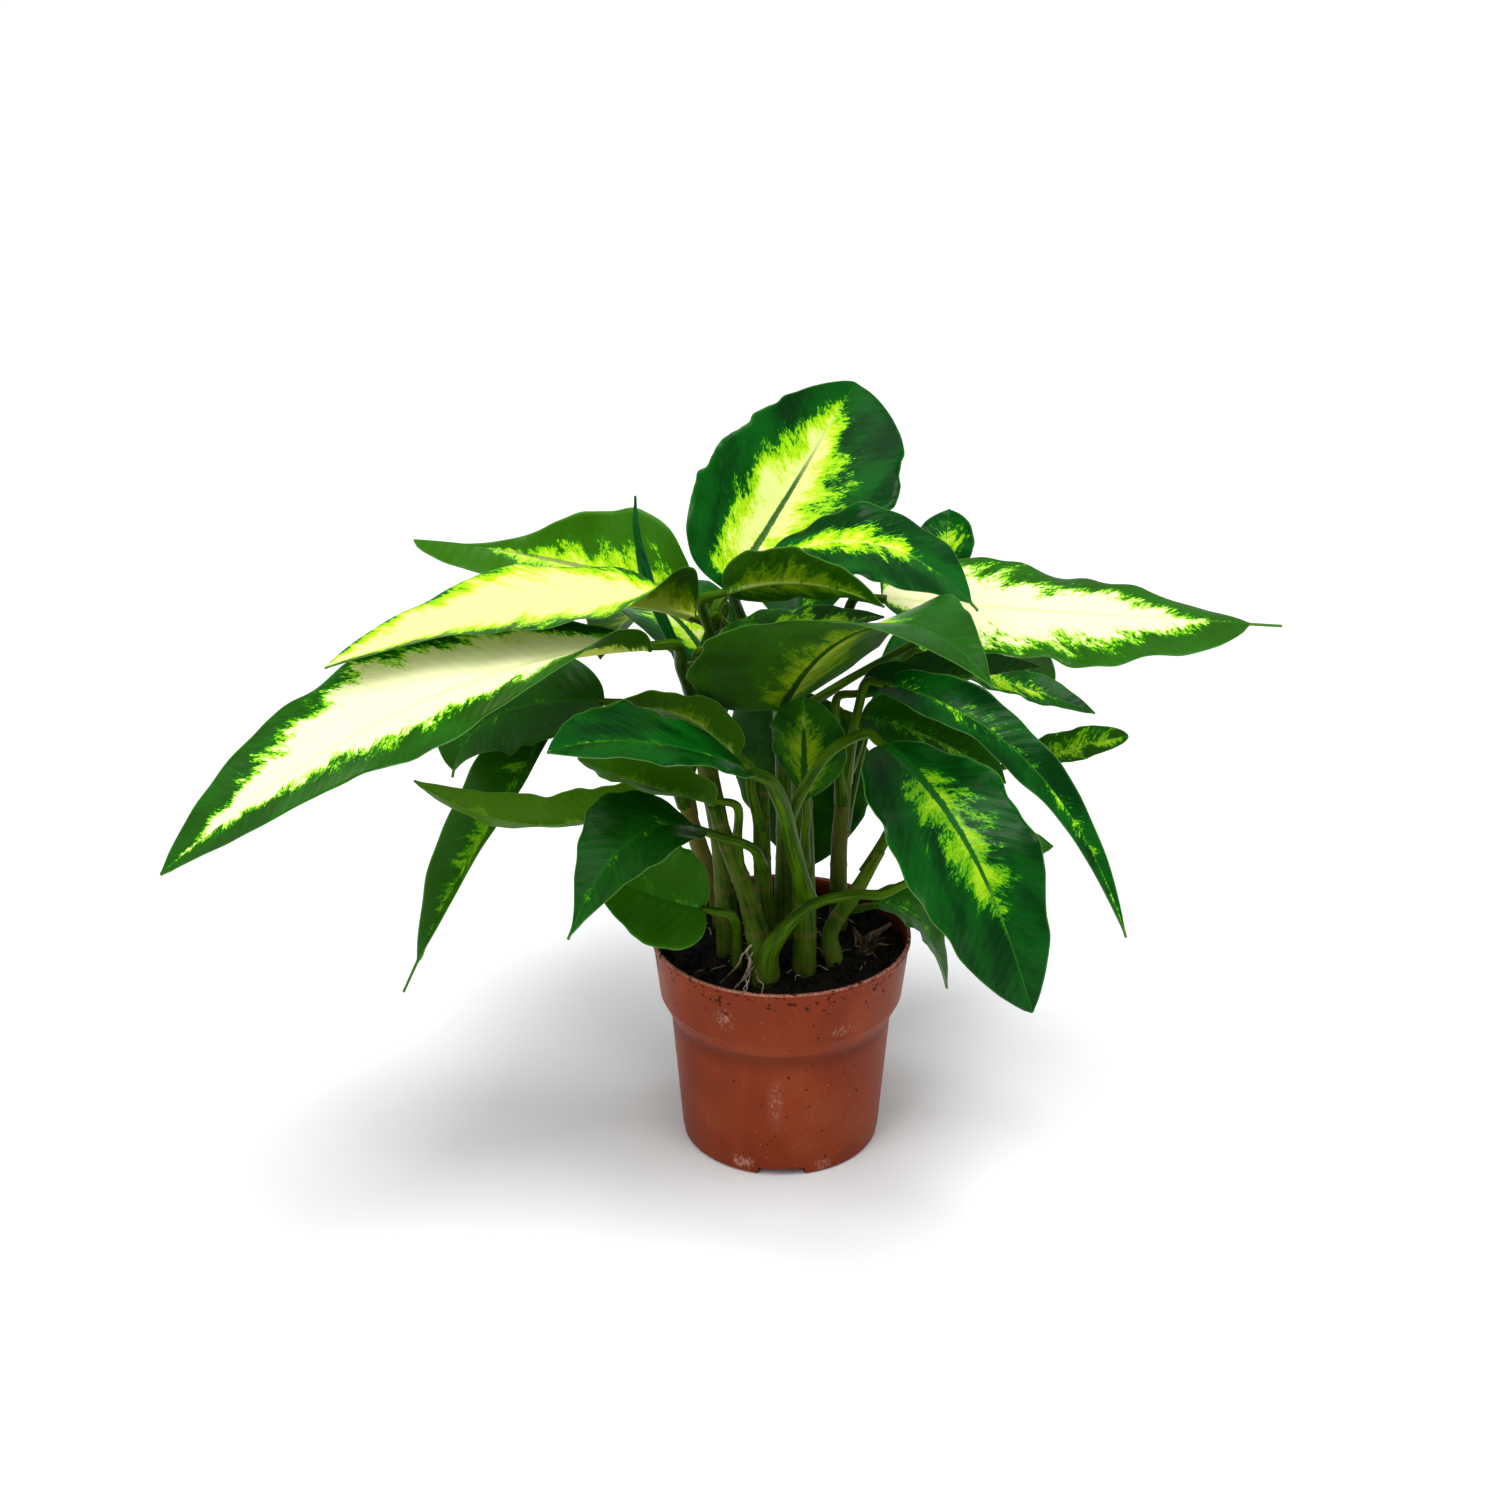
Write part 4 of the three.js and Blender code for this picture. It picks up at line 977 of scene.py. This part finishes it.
def eased(outline, reach):
    """The outline with each corner turned into a short curve that starts reach away from it."""
    p = np.array(outline, float)
    before, corner, after = p[:-2], p[1:-1], p[2:]
    far_back = np.linalg.norm(before - corner, axis=-1, keepdims=True)
    far_on = np.linalg.norm(after - corner, axis=-1, keepdims=True)
    into = corner + (before - corner) * np.minimum(reach / far_back, 0.45)
    out = corner + (after - corner) * np.minimum(reach / far_on, 0.45)
    x = np.linspace(0, 1, 5)[:, None, None]
    curves = into * (1 - x) ** 2 + corner * 2 * x * (1 - x) + out * x**2
    return np.concatenate([p[:1], curves.transpose(1, 0, 2).reshape(-1, 2), p[-1:]])


def filled(outline, longest):
    """The outline with points added, so that none of its steps is longer than longest."""
    p = np.array(outline, float)
    runs = [
        np.linspace(a, b, max(1, int(np.ceil(np.linalg.norm(b - a) / longest))), endpoint=False)
        for a, b in zip(p[:-1], p[1:])
    ]
    return np.concatenate([*runs, p[-1:]])


def pocket_columns():
    """Angles round the pot: even steps, with two close together at each side of a pocket."""
    half = np.arcsin(POCKET_WIDTH / 2 / POT_FOOT_R)
    edges = [
        -np.pi / 2 + k * 2 * np.pi / POCKET_COUNT + sign * (half + step)
        for k in range(POCKET_COUNT) for sign in (-1, 1) for step in (-0.004, 0.004)
    ]
    return np.unique(np.concatenate([ROUND, np.mod(edges, 2 * np.pi)]))


def in_pocket(theta, grow=0.0):
    """Whether each angle lies within a drain pocket's width, made wider by grow at each side."""
    half = np.arcsin((POCKET_WIDTH / 2 + grow) / POT_FOOT_R)
    step = 2 * np.pi / POCKET_COUNT
    return np.abs(np.mod(theta + np.pi / 2 + step / 2, step) - step / 2) < half


def revolved(outline, theta):
    """Rings of a turned form: the outline's radius and height at each angle."""
    r, z = outline[:, :1], outline[:, 1:]
    return np.stack(np.broadcast_arrays(r * np.cos(theta), r * np.sin(theta), z), axis=-1)


def lifted(rings, where, height):
    """The rings, raised to at least the height where they lie over a drain pocket."""
    x, y, z = np.moveaxis(rings, -1, 0)
    return np.stack([x, y, np.where(where, np.maximum(z, height), z)], axis=-1)


def hollow(inset, bottom, top):
    """The outline of the pot's inside from its floor to its collar, inset from the outside."""
    return [
        (1, bottom), (POT_FOOT_R - FLOOR_BEVEL - inset, bottom),
        (POT_FOOT_R - inset, bottom + FLOOR_BEVEL), (STEP_R - inset, STEP_Z - 0.5),
        (COLLAR_R - COLLAR_BEVEL - inset, COLLAR_Z - 1.8), (COLLAR_R - inset, top),
    ]


def pot_shell():
    """Up the outside of the pot, over its lip and down the inside. The pockets lift the foot."""
    depth = POT_FOOT_R - POCKET_DEPTH
    lip_foot = POT_HEIGHT - LIP_HEIGHT
    outside = [
        (1, 0), (depth - 0.1, 0), (depth, 0), (POT_FOOT_R - FOOT_BEVEL, 0), (POT_FOOT_R, FOOT_BEVEL),
        (POT_FOOT_R + 0.3, POCKET_HEIGHT), (STEP_R, STEP_Z), (COLLAR_R - COLLAR_BEVEL, COLLAR_Z - 1.4),
        (COLLAR_R, COLLAR_Z), (POT_RIM_R - LIP_REACH, lip_foot), (POT_RIM_R, POT_HEIGHT - LIP_DROP),
        (POT_RIM_R, POT_HEIGHT),
    ]
    inside = [
        (POT_RIM_R - POT_WALL - 0.3, POT_HEIGHT), (POT_RIM_R - LIP_REACH - POT_WALL, lip_foot),
        *hollow(POT_WALL, POT_FLOOR, COLLAR_Z)[::-1],
    ]
    outer = filled(eased(outside, 0.35), 3.5)
    inner = filled(eased(inside, 0.35), 5.0)
    outline = np.concatenate([outer, inner])
    theta = pocket_columns()
    wall = np.repeat([0, POT_WALL], [len(outer), len(inner)])[:, None]
    radius = outline[:, :1]
    pocket = in_pocket(theta) & (radius > depth - 0.05 - wall) & (radius < POT_FOOT_R + 1)
    shell = Shell()
    shell.add(lifted(revolved(outline, theta), pocket, POCKET_HEIGHT + wall))
    return shell


def soil_height(x, y):
    """The top of the soil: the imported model's lumps with clods and crumbs on them."""
    base = 1.2 * np.sin(x * 0.13 + 1) * np.cos(y * 0.17) + 0.7 * np.sin(x * 0.31 - y * 0.27)
    return SOIL_Z + base + 0.9 * lumps(x, y, 4.5, 2) + 0.5 * lumps(x, y, 1.9, 3)


def soil_shell():
    """The body of the soil within the pot, its uneven top, and the crumbs on it."""
    inset = POT_WALL + SOIL_GAP
    side = hollow(inset, POT_FLOOR + SOIL_GAP, COLLAR_Z - 0.3)
    side = filled([*side, (POT_RIM_R - 1.0 - inset, SOIL_Z)], 5.0)
    cover = np.linspace((POT_RIM_R - 1.2 - inset, SOIL_Z), (1, SOIL_Z), 60)
    outline = np.concatenate([side, cover])
    rings = revolved(outline, ROUND)
    top = slice(len(side) - 1, None)
    rings[top, :, 2] = soil_height(rings[top, :, 0], rings[top, :, 1])
    pocket = in_pocket(ROUND, inset) & (outline[:, :1] > POT_FOOT_R - POCKET_DEPTH - inset)
    shell = Shell()
    shell.add(lifted(rings, pocket, POCKET_HEIGHT + inset + 0.2))
    crumbs(shell, count=700, low=0.5, high=2.0, seed=31)
    return shell


def polar(angle, far):
    return np.stack([far * np.cos(angle), far * np.sin(angle)], axis=-1)


def crumbs(shell, count, low, high, seed):
    """Crumbs strewn over the soil: lumpy balls of a few faces each, half sunk into it."""
    rng = np.random.default_rng(seed)
    angle, far = rng.uniform(0, 2 * np.pi, count), CRUMB_R * np.sqrt(rng.uniform(0.01, 1, count))
    x, y = polar(angle, far).T
    size = low + (high - low) * rng.random(count) ** 3
    v, u = np.meshgrid(np.linspace(0.35, np.pi - 0.35, 4), np.arange(6) * np.pi / 3, indexing="ij")
    ball = np.stack([np.sin(v) * np.cos(u), np.sin(v) * np.sin(u), -np.cos(v)], axis=-1)
    for k in range(count):
        stretch = rng.uniform(0.6, 1.4, 3)
        rough = 1 + rng.uniform(-0.25, 0.25, ball.shape[:2])[..., None]
        place = np.array([x[k], y[k], soil_height(x[k], y[k]) + 0.2 * size[k]])
        shell.add(ball * rough * stretch * size[k] + place)


def root_shell():
    """Fine dry roots: some lie on the soil, and a few hang down to it from the front cane."""
    rng = np.random.default_rng(8)
    angle, far = rng.uniform(0, 2 * np.pi, ROOT_COUNT), rng.uniform(12, 54, ROOT_COUNT)
    start = polar(angle, far)
    turn = rng.uniform(0, 2 * np.pi, ROOT_COUNT)
    end = start + polar(turn, rng.uniform(5, 15, ROOT_COUNT))
    end *= np.minimum(1, ROOT_R / np.linalg.norm(end, axis=-1))[:, None]
    lying = [np.column_stack([p, soil_height(p[:, 0], p[:, 1]) + 0.3]) for p in (start, end)]
    shell = Shell()
    strands(shell, zip(*lying), sag=-0.6, radius=0.28, seed=12)
    strands(shell, HANGING_ROOTS, sag=0.8, radius=0.42, seed=14)
    return shell


# ---- the part ----
UPPER = leaf_look("leaf upper side", under=False)
UNDER = leaf_look("leaf under side", under=True)
STEM = stem_look("stem")
SPEAR = stem_look("rolled leaf", leafy=True)
DRY = fibre_look("dry cane", (32, 20, 11), (88, 64, 36))
HUSK = fibre_look("dry fibre", (62, 44, 26), (138, 112, 74))
ROOT = fibre_look("root fibre", (122, 98, 66), (214, 200, 170))
SOIL = soil_look("peat")
POT = pot_look("terracotta plastic")

for number, leaf in LEAVES.items():
    name = f"leaf_{number:02}"
    shell = leaf_shell(leaf, PATCHES[number], FIRST_SEED + (number - 1) * SEED_STEP)
    shell.piece(name + "_blade", name, "leaf_green", [UPPER, UNDER])

for name, stems in SHOOTS.items():
    if name != "dead_stub":
        shoot_shell(name, stems).piece(name + "_stems", name, "stem_green", [STEM, SPEAR])

stub_shell().piece("dead_stub_fibres", "dead_stub", "dry_stem", [DRY, HUSK])
pot_shell().piece("pot_wall", "pot", "pot_plastic", [POT])
soil_shell().piece("soil_body", "soil", "soil", [SOIL])
root_shell().piece("root_fibres", None, "dry_stem", [ROOT, ROOT])

# ---- floor, light and camera ----
bpy.ops.mesh.primitive_plane_add(size=60)
floor = bpy.context.object
floor.name = "floor"
floor.data.materials.append(floor_look("pale floor"))

scene = bpy.context.scene
scene.view_settings.view_transform = "Standard"
world = bpy.data.worlds.new("studio")
world.use_nodes = True
background = world.node_tree.nodes["Background"].inputs
background["Color"].default_value = (1, 1, 1, 1)
background["Strength"].default_value = 0.4
scene.world = world


def placed(data, location, turn, **settings):
    """A lamp or camera in the scene, with its settings and its turn in degrees."""
    for key, value in settings.items():
        setattr(data, key, value)
    item = bpy.data.objects.new(data.name, data)
    item.location = location
    item.rotation_euler = np.radians(turn)
    scene.collection.objects.link(item)
    return item


overhead = bpy.data.lights.new("overhead", "SUN")
placed(overhead, (0, 0, 3), (10, 12, 0), energy=2.7, angle=np.radians(35))
softbox = bpy.data.lights.new("softbox", "AREA")
placed(softbox, (-0.9, -1.0, 1.5), (48, 0, -42), energy=14, size=1.2)

CAMERA_PLACE = (-0.0117, -0.918, 0.589)
CAMERA_TILT = 66.6
CAMERA_LENS = 53.2
view = bpy.data.cameras.new("camera")
turn = (CAMERA_TILT, 0, 0)
scene.camera = placed(view, CAMERA_PLACE, turn, lens=CAMERA_LENS, clip_start=0.01)
